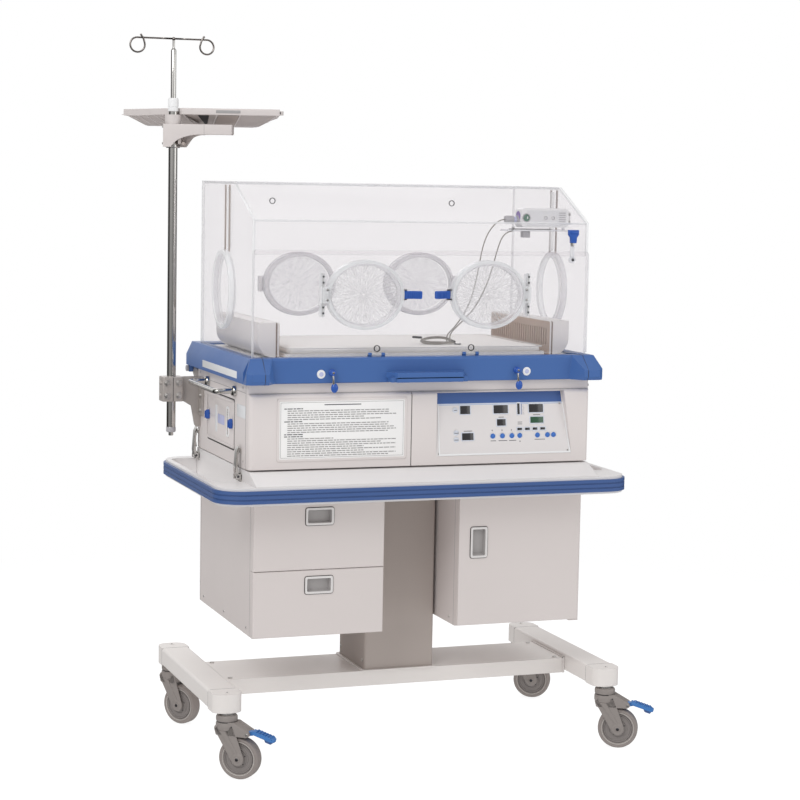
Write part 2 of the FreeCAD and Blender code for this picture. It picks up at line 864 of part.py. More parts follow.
def tank_knob(y):
    x0 = -head_half_width - 0.5 - seat_gap
    grip = oval(tank_knob_half, (0, 0, 0), 1, tank_knob_proud)
    grip.rotate(V(0, 0, 0), Z_AXIS, -90)
    grip.translate(V(x0 - tank_knob_proud, y, tank_knob_z))
    shaft = cylinder(tank_knob_shaft, tank_panel + seat_gap, (x0, y, tank_knob_z), X_AXIS)
    return [grip.fuse(shaft).removeSplitter()]


# Side fittings: a bent bar handle on each side, and the keepers and catches of the toggle clamps
def side_handle():
    x0 = -head_half_width
    bend = handle_radius * 2
    reach = x0 - handle_reach
    solids = []
    bar = None
    for sign in (-1, 1):
        y = sign * handle_boss_y
        boss = cylinder(handle_boss_radius, handle_boss_length, (x0 - handle_boss_length, y, handle_z), X_AXIS)
        post = cylinder(handle_radius, handle_reach - handle_boss_length - bend,
                        (reach + bend, y, handle_z), X_AXIS)
        elbow = Part.makeTorus(bend, handle_radius, V(0, 0, 0), Z_AXIS, 0, 360, 90)
        elbow.rotate(V(0, 0, 0), Z_AXIS, 180 if sign < 0 else 90)
        elbow.translate(V(reach + bend, y - sign * bend, handle_z))
        piece = boss.fuse(post).fuse(elbow)
        bar = piece if bar is None else bar.fuse(piece)
    straight = 2 * (handle_boss_y - bend)
    bar = bar.fuse(cylinder(handle_radius, straight, (reach, -handle_boss_y + bend, handle_z), Y_AXIS))
    solids.append(bar.removeSplitter())
    return solids


def toggle_pivot_x():
    return -head_half_width - toggle_pivot_out


def toggle_keeper(y):
    """Bracket on the tray's side that holds a toggle's pin, and the catch on the housing above."""
    x1 = -head_half_width
    half = keeper_width / 2
    plate = box(x1 - keeper_plate, x1, y - half, y + half, toggle_pivot_z - keeper_height / 2,
                toggle_pivot_z + keeper_height / 2 - 4)
    for sign in (-1, 1):
        y0, y1 = sorted((y + sign * (toggle_width / 2 + 1), y + sign * half))
        plate = plate.fuse(box(toggle_pivot_x() - 5, x1, y0, y1, toggle_pivot_z - 8, toggle_pivot_z + 6))
    plate = plate.fuse(cylinder(toggle_pin, keeper_width, (toggle_pivot_x(), y - half, toggle_pivot_z), Y_AXIS))
    catch_z = toggle_pivot_z + toggle_length - catch_drop
    catch = box(x1 - 3, x1, y - 7, y + 7, catch_z, catch_z + 12)
    return [plate.removeSplitter(), catch]


def side_fittings():
    left = side_handle()
    for y in toggle_y:
        left += toggle_keeper(y)
    return left + [mirrored_x(s) for s in left]


def toggle_lever(y, side):
    """Bent steel lever that leans against the housing, with its eye on the keeper's pin."""
    px = toggle_pivot_x()
    half = toggle_width / 2
    t = toggle_thickness
    outline = [(px - 4, toggle_pivot_z - 5), (px + 3, toggle_pivot_z - 5), (px + 2, toggle_pivot_z + 20),
               (px + 4, toggle_pivot_z + toggle_length - 8), (px + 1, toggle_pivot_z + toggle_length),
               (px - t, toggle_pivot_z + toggle_length - 10), (px - t - 3, toggle_pivot_z + 14)]
    lever = prism_y(outline, y - half, y + half)
    lever = lever.cut(cylinder(toggle_pin + bore_gap, toggle_width + 2, (px, y - half - 1, toggle_pivot_z), Y_AXIS))
    return [lever if side < 0 else mirrored_x(lever)]


# Deck over the housing: an air box with slots at both ends and the fan's intake
def chamber_deck():
    w, t = deck_half_width, deck_wall
    deck = rounded_box(-w, w, deck_front, deck_back, housing_top, deck_top, 12)
    deck = deck.cut(box(-w + t, w - t, deck_front + t, deck_back - t, housing_top + t, deck_top - t))
    deck = deck.cut(cylinder(intake_radius, t + 2, (fan_x, 0, deck_top - t - 1), Z_AXIS))
    deck = deck.cut(cylinder(shaft_radius + 1, t + 2, (fan_x, 0, housing_top - 1), Z_AXIS))
    for side in (-1, 1):
        x = side * (w - slot_inset)
        for k in range(slot_count):
            y = (k - (slot_count - 1) / 2) * slot_pitch
            deck = deck.cut(box(x - slot_width / 2, x + slot_width / 2, y - slot_length / 2, y + slot_length / 2,
                                deck_top - t - 1, deck_top + 1))
    return [deck]


def blower_motor():
    motor = cylinder(motor_radius, motor_height, (fan_x, 0, housing_top - motor_height), Z_AXIS)
    shaft = cylinder(shaft_radius, fan_lift + deck_wall + fan_height - 6, (fan_x, 0, housing_top), Z_AXIS)
    base = housing_top + deck_wall
    top = base + heater_lift + heater_height
    heater = cylinder(heater_radius + heater_width / 2, heater_height, (fan_x, 0, base + heater_lift), Z_AXIS)
    heater = heater.cut(cylinder(heater_radius - heater_width / 2, top - base, (fan_x, 0, base), Z_AXIS))
    for k in range(heater_feet):
        a = math.radians(360 / heater_feet * k + 30)
        foot = (fan_x + heater_radius * math.cos(a), heater_radius * math.sin(a), base)
        heater = heater.fuse(cylinder(heater_foot, heater_lift, foot, Z_AXIS))
    return [motor.fuse(shaft).removeSplitter(), heater.removeSplitter()]


def blower_fan():
    hub = cylinder(fan_hub_radius, fan_height, (fan_x, 0, fan_bottom), Z_AXIS)
    plate = cylinder(fan_radius, 2.5, (fan_x, 0, fan_bottom), Z_AXIS)
    fan = hub.fuse(plate)
    for k in range(blade_count):
        blade = box(fan_hub_radius - 2, fan_radius - 3, -blade_thickness / 2, blade_thickness / 2,
                    fan_bottom, fan_bottom + fan_height)
        blade = turned(blade, (fan_radius - 3, 0, 0), Z_AXIS, 14)
        blade = turned(blade, (0, 0, 0), Z_AXIS, 360 / blade_count * k)
        blade.translate(V(fan_x, 0, 0))
        fan = fan.fuse(blade)
    bore = cylinder(shaft_radius + bore_gap, fan_height - 4, (fan_x, 0, fan_bottom), Z_AXIS)
    return [fan.cut(bore).removeSplitter()]


# Bed: shallow tray and its mattress
def mattress_tray():
    w = bed_half_width
    tray = rounded_box(-w, w, bed_front, bed_back, bed_base, bed_base + tray_rim, 14)
    return [tray.cut(rounded_box(-w + 2, w - 2, bed_front + 2, bed_back - 2, bed_base + tray_floor,
                                 bed_base + tray_rim + 1, 12))]


def mattress():
    w = bed_half_width - mattress_inset
    z1 = mattress_bottom + mattress_height
    pad = rounded_box(-w, w, bed_front + mattress_inset, bed_back - mattress_inset, mattress_bottom, z1, 12)
    return [pad.makeFillet(mattress_round / 2, [e for e in pad.Edges if abs(e.CenterOfMass.z - z1) < 0.01])]


def air_ducts():
    """Raised duct at each end of the bed, with a warm-air panel on its inner side."""
    z0, z1 = duct_bottom, duct_bottom + duct_height
    split = duct_inner_x + duct_panel
    panel = box(duct_inner_x, split, duct_front, duct_back, z0, z1)
    body = box(split, duct_outer_x, duct_front, duct_back, z0, z1)
    low = [e for e in edges_along(body, Y_AXIS) if e.CenterOfMass.z < z0 + 1 and e.CenterOfMass.x > split + 1]
    body = body.makeFillet(duct_round, low)
    return [panel, body, mirrored_x(panel), mirrored_x(body)]


# Blue rim: ring with a slanted shoulder, raised end blocks and a grip in front
def hood_rim():
    bottom = housing_top + rim_lift
    w, top_w = rim_half_width, rim_top_half_width
    ring = prism_y([(-w, bottom), (w, bottom), (w, rim_knee), (top_w, rim_top), (-top_w, rim_top), (-w, rim_knee)],
                   rim_front, rim_back)
    for side in (-1, 1):
        ring = ring.fuse(end_block(side))
    ring = ring.cut(box(-rim_opening_half_width, rim_opening_half_width, rim_opening_front, rim_opening_back,
                        bottom - 1, rim_top + 1))
    ring = ring.fuse(rim_grip())
    for side in (-1, 1):
        ring = ring.fuse(hinge_lug(side))
    ring = ring.fuse(door_hinge_seats()).removeSplitter()
    solids = [ring]
    for side in (-1, 1):
        solids.append(cylinder(badge_radius, badge_proud, (side * badge_x, rim_front - badge_proud, badge_z), Y_AXIS))
    return solids


def end_block(side):
    """Corner block that stands out in front, with a slanted top and a chamfered inner side."""
    bottom = housing_top + rim_lift
    y0 = rim_block_front
    profile = prism_x([(y0, bottom + 8), (y0 + 8, bottom), (rim_front + 1, bottom), (rim_front + 1, rim_top),
                       (y0 + rim_block_slope, rim_top), (y0, rim_knee)], rim_block_inner, rim_half_width)
    plan = prism_z([(rim_block_inner, rim_front + 1), (rim_block_inner, rim_front),
                    (rim_block_inner + rim_block_chamfer, y0), (rim_half_width - 12, y0),
                    (rim_half_width, y0 + 12), (rim_half_width, rim_front + 1)], bottom, rim_top)
    shoulder = prism_y([(rim_block_inner, bottom), (rim_half_width, bottom), (rim_half_width, rim_knee),
                        (rim_top_half_width, rim_top), (rim_block_inner, rim_top)], y0, rim_front + 1)
    block = profile.common(plan).common(shoulder)
    return block if side > 0 else mirrored_x(block)


def rim_grip():
    """Ledge for the fingers in the middle of the front, hollow underneath."""
    y1 = rim_front + 1
    ledge = prism_z([(-grip_half_width, y1), (-grip_half_width + 18, grip_front),
                     (grip_half_width - 18, grip_front), (grip_half_width, y1)], grip_bottom, grip_top)
    hollow = box(-grip_half_width + 30, grip_half_width - 30, grip_front + 8, rim_front,
                 grip_bottom - 1, grip_bottom + grip_hollow)
    return ledge.cut(hollow)


def door_knuckles(inner, outer):
    """Barrels on the front door's hinge line, between two distances from each hinge's middle."""
    barrels = []
    for middle in (-door_hinge_x, door_hinge_x):
        for side in (-1, 1):
            x0, x1 = sorted((middle + side * inner, middle + side * outer))
            barrels.append(cylinder(door_hinge_radius, x1 - x0, (x0, door_hinge_y, door_hinge_z), X_AXIS))
    return barrels


def door_hinge_pins(radius):
    reach = door_knuckle / 2 + seat_gap + rim_knuckle
    pins = [cylinder(radius, 2 * reach, (x - reach, door_hinge_y, door_hinge_z), X_AXIS)
            for x in (-door_hinge_x, door_hinge_x)]
    return pins[0].fuse(pins[1])


def door_hinge_seats():
    """Knuckles that stand on the rim's ledge, with the pins of the front door's hinges."""
    inner = door_knuckle / 2 + seat_gap
    seats = door_hinge_pins(door_hinge_pin)
    for barrel in door_knuckles(inner, inner + rim_knuckle):
        extent = barrel.BoundBox
        foot = box(extent.XMin, extent.XMax, door_hinge_y - door_thickness / 2, door_hinge_y + door_thickness / 2,
                   rim_top - 1, door_hinge_z)
        seats = seats.fuse(barrel).fuse(foot)
    return seats


def hinge_lug(side):
    x0 = hinge_lug_inner
    lug = prism_x([(hinge_y - 20, housing_top + rim_lift), (hinge_y - 20, rim_knee), (hinge_y - 6, rim_knee),
                   (hinge_y + hinge_lug_radius, hinge_z), (hinge_y - hinge_lug_radius, hinge_z)],
                  x0, x0 + hinge_lug_width)
    lug = lug.fuse(cylinder(hinge_lug_radius, hinge_lug_width, (x0, hinge_y, hinge_z), X_AXIS))
    lug = lug.cut(cylinder(hinge_pin_radius + bore_gap, hinge_lug_width + 2, (x0 - 1, hinge_y, hinge_z), X_AXIS))
    return lug if side > 0 else mirrored_x(lug)


def hood_hinges():
    """Bracket behind each rear corner of the housing, with the pin and its knob."""
    x1 = hinge_lug_inner - panel_gap
    x0 = x1 - hinge_bracket_width
    r = hinge_lug_radius
    bracket = prism_x([(head_back, hinge_z - hinge_bracket_drop), (head_back, hinge_z), (hinge_y, hinge_z + r),
                       (hinge_y + r, hinge_z), (hinge_y, hinge_z - r)], x0, x1)
    pin_length = hinge_bracket_width + hinge_lug_width + 2 * panel_gap + hinge_knob_length
    bracket = bracket.fuse(cylinder(hinge_pin_radius, pin_length, (x0, hinge_y, hinge_z), X_AXIS))
    bracket = bracket.fuse(cylinder(hinge_knob_radius, hinge_knob_length,
                                    (hinge_lug_inner + hinge_lug_width + panel_gap, hinge_y, hinge_z), X_AXIS))
    bracket = bracket.removeSplitter()
    return [bracket, mirrored_x(bracket)]


# Hood: clear shell bent from one outline, open at the front for the door
def hood_outline(inset):
    slope = (hood_top - hood_slant_bottom_z) / (hood_slant_top_y - hood_front)
    lean = math.hypot(1, slope)
    return [(hood_front + inset, rim_top), (hood_back - inset, rim_top), (hood_back - inset, hood_top - inset),
            (hood_slant_top_y - inset * (1 - lean) / slope * -1, hood_top - inset),
            (hood_front + inset, hood_slant_bottom_z + inset * slope - inset * lean)]


def hood_shell():
    w, t = hood_half_width, hood_wall
    shell = prism_x(hood_outline(0), -w, w).cut(prism_x(hood_outline(t), -w + t, w - t))
    shell = shell.cut(box(-w + t, w - t, hood_front + t, hood_back - t, rim_top - 1, rim_top + 1))
    shell = shell.cut(box(-w + t, w - t, hood_front - 1, hood_front + t + 1, rim_top - 1, hood_strip_bottom))
    inner = smaller(port_half, port_rim)
    for x in (-rear_port_x, rear_port_x):
        shell = shell.cut(oval(inner, (x, hood_back - t - 1, port_z), 1, t + 2))
    for side in (-1, 1):
        hole = end_oval(inner, side, w - t - 1, t + 2)
        shell = shell.cut(hole)
        slot_x = side * (w - t / 2)
        shell = shell.cut(box(slot_x - t, slot_x + t, tube_slot_y - tube_slot_width / 2,
                              tube_slot_y + tube_slot_width / 2, tube_slot_bottom, tube_slot_top))
    return [shell.removeSplitter()]


def hood_port_frames():
    """Rings of the rear hand ports and the deeper, glazed rings of the end ports."""
    inner = smaller(port_half, port_rim)
    solids = []
    for x in (-rear_port_x, rear_port_x):
        solids.append(oval(port_half, (x, hood_back, port_z), 1, port_frame_depth).cut(
            oval(inner, (x, hood_back - 1, port_z), 1, port_frame_depth + 2)))
    for side in (-1, 1):
        ring = end_oval(port_half, side, hood_half_width, end_port_depth)
        solids.append(ring.cut(end_oval(smaller(inner, 4), side, hood_half_width - 1, end_port_depth - port_pane)))
    return solids


def end_oval(half, side, start, depth):
    """Oval disc standing out of an end wall, its long side upright."""
    disc = oval((half[1], half[0]), (0, 0, 0), 1, depth)
    disc.rotate(V(0, 0, 0), Z_AXIS, -90)
    disc.translate(V(start, end_port_y, port_z))
    return disc if side > 0 else mirrored_x(disc)


# Hand ports: frame on the wall, clear door on an upright hinge at its outer side
def port_hinge_x(x, outward):
    return x + outward * (port_half[0] + port_hinge_offset)


def port_frame(x, outward, face_y):
    """Oval frame, hinge base with two knuckles, and the gathered cuff behind it; built towards -Y."""
    inner = smaller(port_half, port_rim)
    ring = oval(port_half, (x, face_y, port_z), -1, port_frame_depth).cut(
        oval(inner, (x, face_y + 1, port_z), -1, port_frame_depth + 2))
    hx = port_hinge_x(x, outward)
    hy = port_hinge_y(face_y)
    half = port_hinge_length / 2
    solids = [ring]
    base = box(hx - port_hinge_radius, hx + port_hinge_radius, face_y - port_hinge_base, face_y,
               port_z - half, port_z + half)
    for sign in (-1, 1):
        z0, z1 = sorted((port_z + sign * (port_knuckle / 2 + seat_gap), port_z + sign * half))
        base = base.fuse(cylinder(port_hinge_radius, z1 - z0, (hx, hy, z0), Z_AXIS))
        base = base.fuse(box(hx - 2, hx + 2, hy, face_y, z0, z1))
    base = base.fuse(cylinder(port_pin_radius, port_hinge_length, (hx, hy, port_z - half), Z_AXIS))
    solids.append(base.removeSplitter())
    return solids


def port_hinge_y(face_y):
    return face_y - port_frame_depth + port_hinge_radius


def port_door(x, outward, face_y):
    """Clear oval door with a thick edge, its hinge knuckle and the striker for the latch."""
    y0 = face_y - port_frame_depth - seat_gap
    door = oval(port_half, (x, y0, port_z), -1, port_door_depth)
    door = door.cut(oval(smaller(port_half, port_door_rim), (x, y0 + 1, port_z), -1, port_door_depth - port_pane + 1))
    hx, hy = port_hinge_x(x, outward), port_hinge_y(face_y)
    knuckle = cylinder(port_hinge_radius, port_knuckle, (hx, hy, port_z - port_knuckle / 2), Z_AXIS)
    tab_x0, tab_x1 = sorted((hx, x + outward * (port_half[0] - 6)))
    tab = box(tab_x0, tab_x1, y0 - port_door_depth, y0 - 0.5, port_z - port_knuckle / 2, port_z + port_knuckle / 2)
    web_x0, web_x1 = sorted((hx - outward * port_hinge_radius, hx + outward * port_hinge_radius))
    web = box(web_x0, web_x1, y0 - 3, hy, port_z - port_knuckle / 2, port_z + port_knuckle / 2)
    door = door.fuse(knuckle).fuse(tab).fuse(web)
    door = door.cut(cylinder(port_pin_radius + bore_gap, port_knuckle + 2, (hx, hy, port_z - port_knuckle / 2 - 1),
                             Z_AXIS))
    return [door.removeSplitter()]


def port_latch_pivot(x, outward):
    return x - outward * (port_half[0] + latch_reach), port_frame_front + 6


def latch_bracket(x, outward):
    """Two ears on the frame that hold the latch's pin."""
    px, py = port_latch_pivot(x, outward)
    ears = None
    for sign in (-1, 1):
        z0, z1 = sorted((port_z + sign * (latch_height / 2 + seat_gap), port_z + sign * (latch_height / 2 + 3.5)))
        x0, x1 = sorted((px - outward * 4, x - outward * (port_half[0] - 8)))
        ear = box(x0, x1, py - 4, py + 6, z0, z1)
        ears = ear if ears is None else ears.fuse(ear)
    return ears.fuse(cylinder(latch_pin, latch_height + 7, (px, py, port_z - latch_height / 2 - 3.5), Z_AXIS))


def port_latch(x, outward):
    """Blue lever that leans out from the door's plane."""
    px, py = port_latch_pivot(x, outward)
    z0 = port_z - latch_height / 2
    t = latch_thickness
    lever = box(px - 4, px + latch_length, py - t / 2, py + t / 2, z0, z0 + latch_height)
    ends = [e for e in edges_along(lever, Y_AXIS) if e.CenterOfMass.x > px]
    lever = lever.makeFillet(4, ends)
    lever = turned(lever, (px, py, 0), Z_AXIS, -latch_lean)
    if outward > 0:
        lever = lever.mirror(V(px, py, 0), X_AXIS)
    return [lever.cut(cylinder(latch_pin + bore_gap, latch_height + 2, (px, py, z0 - 1), Z_AXIS))]


def front_port_frames():
    solids = []
    for outward in (-1, 1):
        x = outward * port_x
        frame = port_frame(x, outward, door_face)
        frame[0] = frame[0].fuse(latch_bracket(x, outward)).removeSplitter()
        solids += frame
        solids.append(oval(smaller(port_half, port_rim), (x, door_face - cuff_setback, port_z), 1, cuff_depth))
    return solids


def front_door():
    """Clear panel with two hand port openings, hinged along its lower edge."""
    w = hood_half_width
    panel = box(-w, w, door_face, door_face + door_thickness, door_bottom, door_top)
    panel = panel.makeFillet(10, [e for e in edges_along(panel, Y_AXIS) if e.CenterOfMass.z > door_top - 1])
    inner = smaller(port_half, port_rim)
    for x in (-port_x, port_x):
        panel = panel.cut(oval(inner, (x, door_face - 1, port_z), 1, door_thickness + 2))
    notch_top = door_hinge_z + door_hinge_radius + panel_gap
    reach = door_knuckle / 2 + rim_knuckle + 2 * seat_gap
    for barrel in door_knuckles(door_knuckle / 2, reach):
        extent = barrel.BoundBox
        panel = panel.cut(box(extent.XMin, extent.XMax, door_face - 1, door_face + door_thickness + 1,
                              door_bottom - 1, notch_top))
    for barrel in door_knuckles(0, door_knuckle / 2):
        panel = panel.fuse(barrel)
    panel = panel.cut(door_hinge_pins(door_hinge_pin + bore_gap))
    return [panel.cut(lock_pin_bar(lock_pin + bore_gap)).removeSplitter()]


def lock_pin_bar(radius):
    """Pin of the lock, flush with the door's inner face."""
    return cylinder(radius, door_thickness + seat_gap, (lock_x, door_face - seat_gap, lock_pivot_z), Y_AXIS)


def door_lock():
    """Blue turn latch with its clear arm, on a pin through the door's upper right corner."""
    y1 = door_face - seat_gap
    half = lock_width / 2
    grip = rounded_box(lock_x - half, lock_x + half, y1 - lock_thickness - 8, y1, lock_z - 12, lock_z + 20, 6, Y_AXIS)
    arm = box(lock_x - 5, lock_x + 5, y1 - lock_thickness, y1, lock_pivot_z, lock_z - 6)
    eye = cylinder(9, lock_thickness, (lock_x, y1 - lock_thickness, lock_pivot_z), Y_AXIS)
    return [grip.fuse(arm).fuse(eye).fuse(lock_pin_bar(lock_pin)).removeSplitter()]


# Levers on the rim that lock the hood to the housing
def hood_lever(side):
    x = side * lever_x
    y0 = rim_front - lever_out
    boss = cylinder(lever_boss, lever_out - seat_gap, (x, y0, lever_z), Y_AXIS)
    rod = cylinder(lever_rod, lever_drop, (x, y0 + 4, lever_z - lever_drop), Z_AXIS)
    knob = Part.makeSphere(1)
    scale = FreeCAD.Matrix()
    scale.scale(*lever_knob)
    knob = knob.transformGeometry(scale)
    knob.translate(V(x + 4, y0 + 4, lever_z - lever_drop - 6))
    return [boss.fuse(rod).fuse(knob).removeSplitter()]


# Sensor module hung from the right end wall
def sensor_module():
    y0, y1 = module_y - module_depth / 2, module_y + module_depth / 2
    body = rounded_box(module_left, module_right, y0, y1, module_bottom, module_top, 6)
    stay = box(module_right, hood_half_width - hood_wall, module_y - 12, module_y + 12,
               module_bottom + 8, module_top - 8)
    plug_z = (module_bottom + module_top) / 2 - 5
    plug = cylinder(plug_radius, plug_length, (module_left - plug_length + 30, module_y, plug_z), X_AXIS)
    return [body.fuse(stay).fuse(plug).removeSplitter()]


# Drip pole: tube in its clamp, swivelling shelf, sliding hook rod
def pole_tube():
    tube = cylinder(pole_radius, collar_bottom - pole_bottom, (pole_x, pole_y, pole_bottom), Z_AXIS)
    collar = cylinder(collar_radius, collar_top - collar_bottom, (pole_x, pole_y, collar_bottom), Z_AXIS)
    body = tube.fuse(collar)
    body = body.cut(cylinder(pole_bore, collar_bottom - pole_bottom - 20, (pole_x, pole_y, pole_bottom + 20), Z_AXIS))
    body = body.cut(cylinder(rod_radius + bore_gap, collar_top - collar_bottom + 2,
                             (pole_x, pole_y, collar_bottom - 1), Z_AXIS))
    foot = cylinder(6, 10, (pole_x, pole_y, pole_bottom - 10), Z_AXIS)
    return [body.fuse(foot).removeSplitter()]


def pole_bracket():
    """Plate on the housing's rear corner and the block that grips the pole."""
    block = rounded_box(pole_x - clamp_half_width, pole_x + clamp_half_width, pole_y - clamp_half_depth,
                        pole_y + clamp_half_depth, clamp_bottom, clamp_top, 5)
    block = block.cut(cylinder(pole_radius, clamp_top - clamp_bottom + 2, (pole_x, pole_y, clamp_bottom - 1), Z_AXIS))
    x1 = -head_half_width
    web = box(pole_x + clamp_half_width, x1, pole_y + 4, pole_y + 4 + bracket_plate, bracket_bottom, clamp_top)
    flange = box(x1 - bracket_plate, x1, pole_y + 4 - 34, pole_y + 4, bracket_bottom + 30, clamp_top)
    return [block.fuse(web).fuse(flange).removeSplitter()]


def shelf_frame(shape):
    """Move a shelf piece from its own axes, corner at the origin, to its place by the pole."""
    along = shelf_corner_along * math.sqrt(0.5)
    back = shelf_setback * math.sqrt(0.5)
    shape.translate(V(along + back, -along + back, 0))
    shape.rotate(V(0, 0, 0), Z_AXIS, shelf_turn)
    shape.translate(V(pole_x, pole_y, 0))
    return shape


def shelf_plan(inset):
    """Outline of the shelf about the front end of its chamfered corner."""
    c = shelf_chamfer
    w = shelf_width - c
    k = inset * (math.sqrt(2) - 1)
    return [(k, inset), (w - inset, inset), (w - inset - shelf_taper, shelf_depth - inset),
            (-c + inset, shelf_depth - inset), (-c + inset, c + k)]


def pole_shelf():
    """Shallow tray with a rim, ribbed and tapered underneath, notched round the pole."""
    rim = prism_z(shelf_plan(0), shelf_bottom, shelf_bottom + shelf_rim)
    rim = rim.cut(prism_z(shelf_plan(shelf_floor), shelf_bottom + shelf_floor, shelf_bottom + shelf_rim + 1))
    under = loft_down(shelf_plan(6), shelf_plan(shelf_under_inset), shelf_bottom, shelf_bottom - shelf_under_depth)
    hollow = loft_down(shelf_plan(9), shelf_plan(shelf_under_inset + 3), shelf_bottom,
                       shelf_bottom - shelf_under_depth)
    ribs = None
    lo, hi = -shelf_chamfer, shelf_width - shelf_chamfer
    pitch = (hi - lo) / (shelf_rib_count + 1)
    for k in range(shelf_rib_count):
        x = lo + pitch * (k + 1)
        rib = box(x - shelf_rib / 2, x + shelf_rib / 2, 0, shelf_depth, shelf_bottom - shelf_under_depth, shelf_bottom)
        ribs = rib if ribs is None else ribs.fuse(rib)
    shell = under.cut(hollow).fuse(under.common(ribs))
    shelf = shelf_frame(rim.fuse(shell))
    hole = cylinder(collar_radius + 1, 80, (pole_x, pole_y, shelf_bottom - 40), Z_AXIS)
    return [shelf.cut(hole).removeSplitter()]


def loft_down(top, bottom, z_top, z_bottom):
    wires = []
    for plan, z in ((top, z_top), (bottom, z_bottom)):
        wires.append(Part.makePolygon([V(x, y, z) for x, y in plan + [plan[0]]]))
    return Part.makeLoft(wires, True, True)


def shelf_arm():
    """Arm with a curved web under the shelf; its end, a rear jaw and two cheeks close round the pole."""
    r, tip = arm_clamp_radius, arm_tip_height
    top = shelf_bottom - shelf_under_depth
    outline = [V(-r, 0, arm_bottom), V(-r, 0, top), V(arm_length, 0, top), V(arm_length, 0, top - tip)]
    mid = V(arm_length * 0.42, 0, top - tip - 10)
    start = V(r, 0, arm_bottom)
    end = V(arm_length * 0.72, 0, top - tip)
    edges = [Part.makeLine(outline[0], outline[1]), Part.makeLine(outline[1], outline[2]),
             Part.makeLine(outline[2], outline[3]), Part.makeLine(outline[3], end),
             Part.Arc(end, mid, start).toShape(), Part.makeLine(start, outline[0])]
    arm = Part.Face(Part.Wire(edges)).extrude(V(0, 2 * arm_half_width, 0))
    arm.translate(V(0, -arm_half_width, 0))
    arm = arm.cut(cylinder(pole_radius + bore_gap, top - arm_bottom + 2, (0, 0, arm_bottom - 1), Z_AXIS))
    c, far = arm_half_width + 5, arm_length + 5
    front = [(0, 0), (c, -c), (far, -c), (far, c), (c, c)]
    rear = [(0, 0), (-c, c), (-c, -c)]
    left = [(0, 0), (c, c), (-c, c)]
    right = [(0, 0), (-c, -c), (c, -c)]
    solids = []
    for plan in (front, rear, left, right):
        solid = arm.common(prism_z(plan, arm_bottom - 1, top + 1))
        solid.rotate(V(0, 0, 0), Z_AXIS, shelf_turn)
        solid.translate(V(pole_x, pole_y, 0))
        solids.append(solid)
    return solids


def hook_rod():
    """Thin rod that slides in the pole, with a wire bar ending in two loops."""
    rod = cylinder(rod_radius, rod_top - rod_bottom, (pole_x, pole_y, rod_bottom), Z_AXIS)
    neck = cylinder(neck_radius, hook_z - rod_top, (pole_x, pole_y, rod_top), Z_AXIS)
    body = rod.fuse(neck)
    bar = cylinder(hook_wire, 2 * hook_half_span, (pole_x - hook_half_span, pole_y, hook_z), X_AXIS)
    body = body.fuse(bar)
    for side in (-1, 1):
        loop = Part.makeTorus(hook_loop, hook_wire, V(0, 0, 0), Z_AXIS, 0, 360, hook_sweep)
        loop.rotate(V(0, 0, 0), X_AXIS, 90)
        loop.rotate(V(0, 0, 0), Y_AXIS, -90)
        if side < 0:
            loop = mirrored_x(loop)
        loop.translate(V(pole_x + side * hook_half_span, pole_y, hook_z - hook_loop))
        body = body.fuse(loop)
    return [body.removeSplitter()]


# Sensor lead: runs joined by tangent arcs, and the coil's outer shape on the mattress
def lead_path(points):
    """Straight runs joined by arcs of 0.45 of the shorter run at each point of the route."""
    pts = [V(*p) for p in points]
    edges, start = [], pts[0]
    for before, corner, after in zip(pts, pts[1:], pts[2:]):
        a, b = before - corner, after - corner
        cut = 0.45 * min(a.Length, b.Length)
        a.normalize()
        b.normalize()
        p, q = corner + a * cut, corner + b * cut
        half = b.getAngle(a * -1) / 2
        radius = cut / math.tan(half)
        middle = a + b
        middle.normalize()
        through = corner + middle * (radius / math.cos(half) - radius)
        edges.append(Part.makeLine(start, p))
        edges.append(Part.Arc(p, through, q).toShape())
        start = q
    edges.append(Part.makeLine(start, pts[-1]))
    return Part.Wire(edges)


def sensor_lead():
    solids = []
    for points in (lead_points, second_lead_points):
        first = V(*points[0])
        direction = V(*points[1]) - first
        profile = Part.Wire(Part.makeCircle(lead_radius, first, direction))
        solids.append(lead_path(points).makePipeShell([profile], True, False))
    return solids


def lead_coil():
    z0 = mattress_bottom + mattress_height + seat_gap
    ring = oval(coil_half, (0, 0, 0), 1, coil_height).cut(oval(coil_hole, (0, -1, 0), 1, coil_height + 2))
    ring.rotate(V(0, 0, 0), X_AXIS, -90)
    ring.translate(V(coil_centre[0], coil_centre[1], z0 + coil_height))
    return [ring]


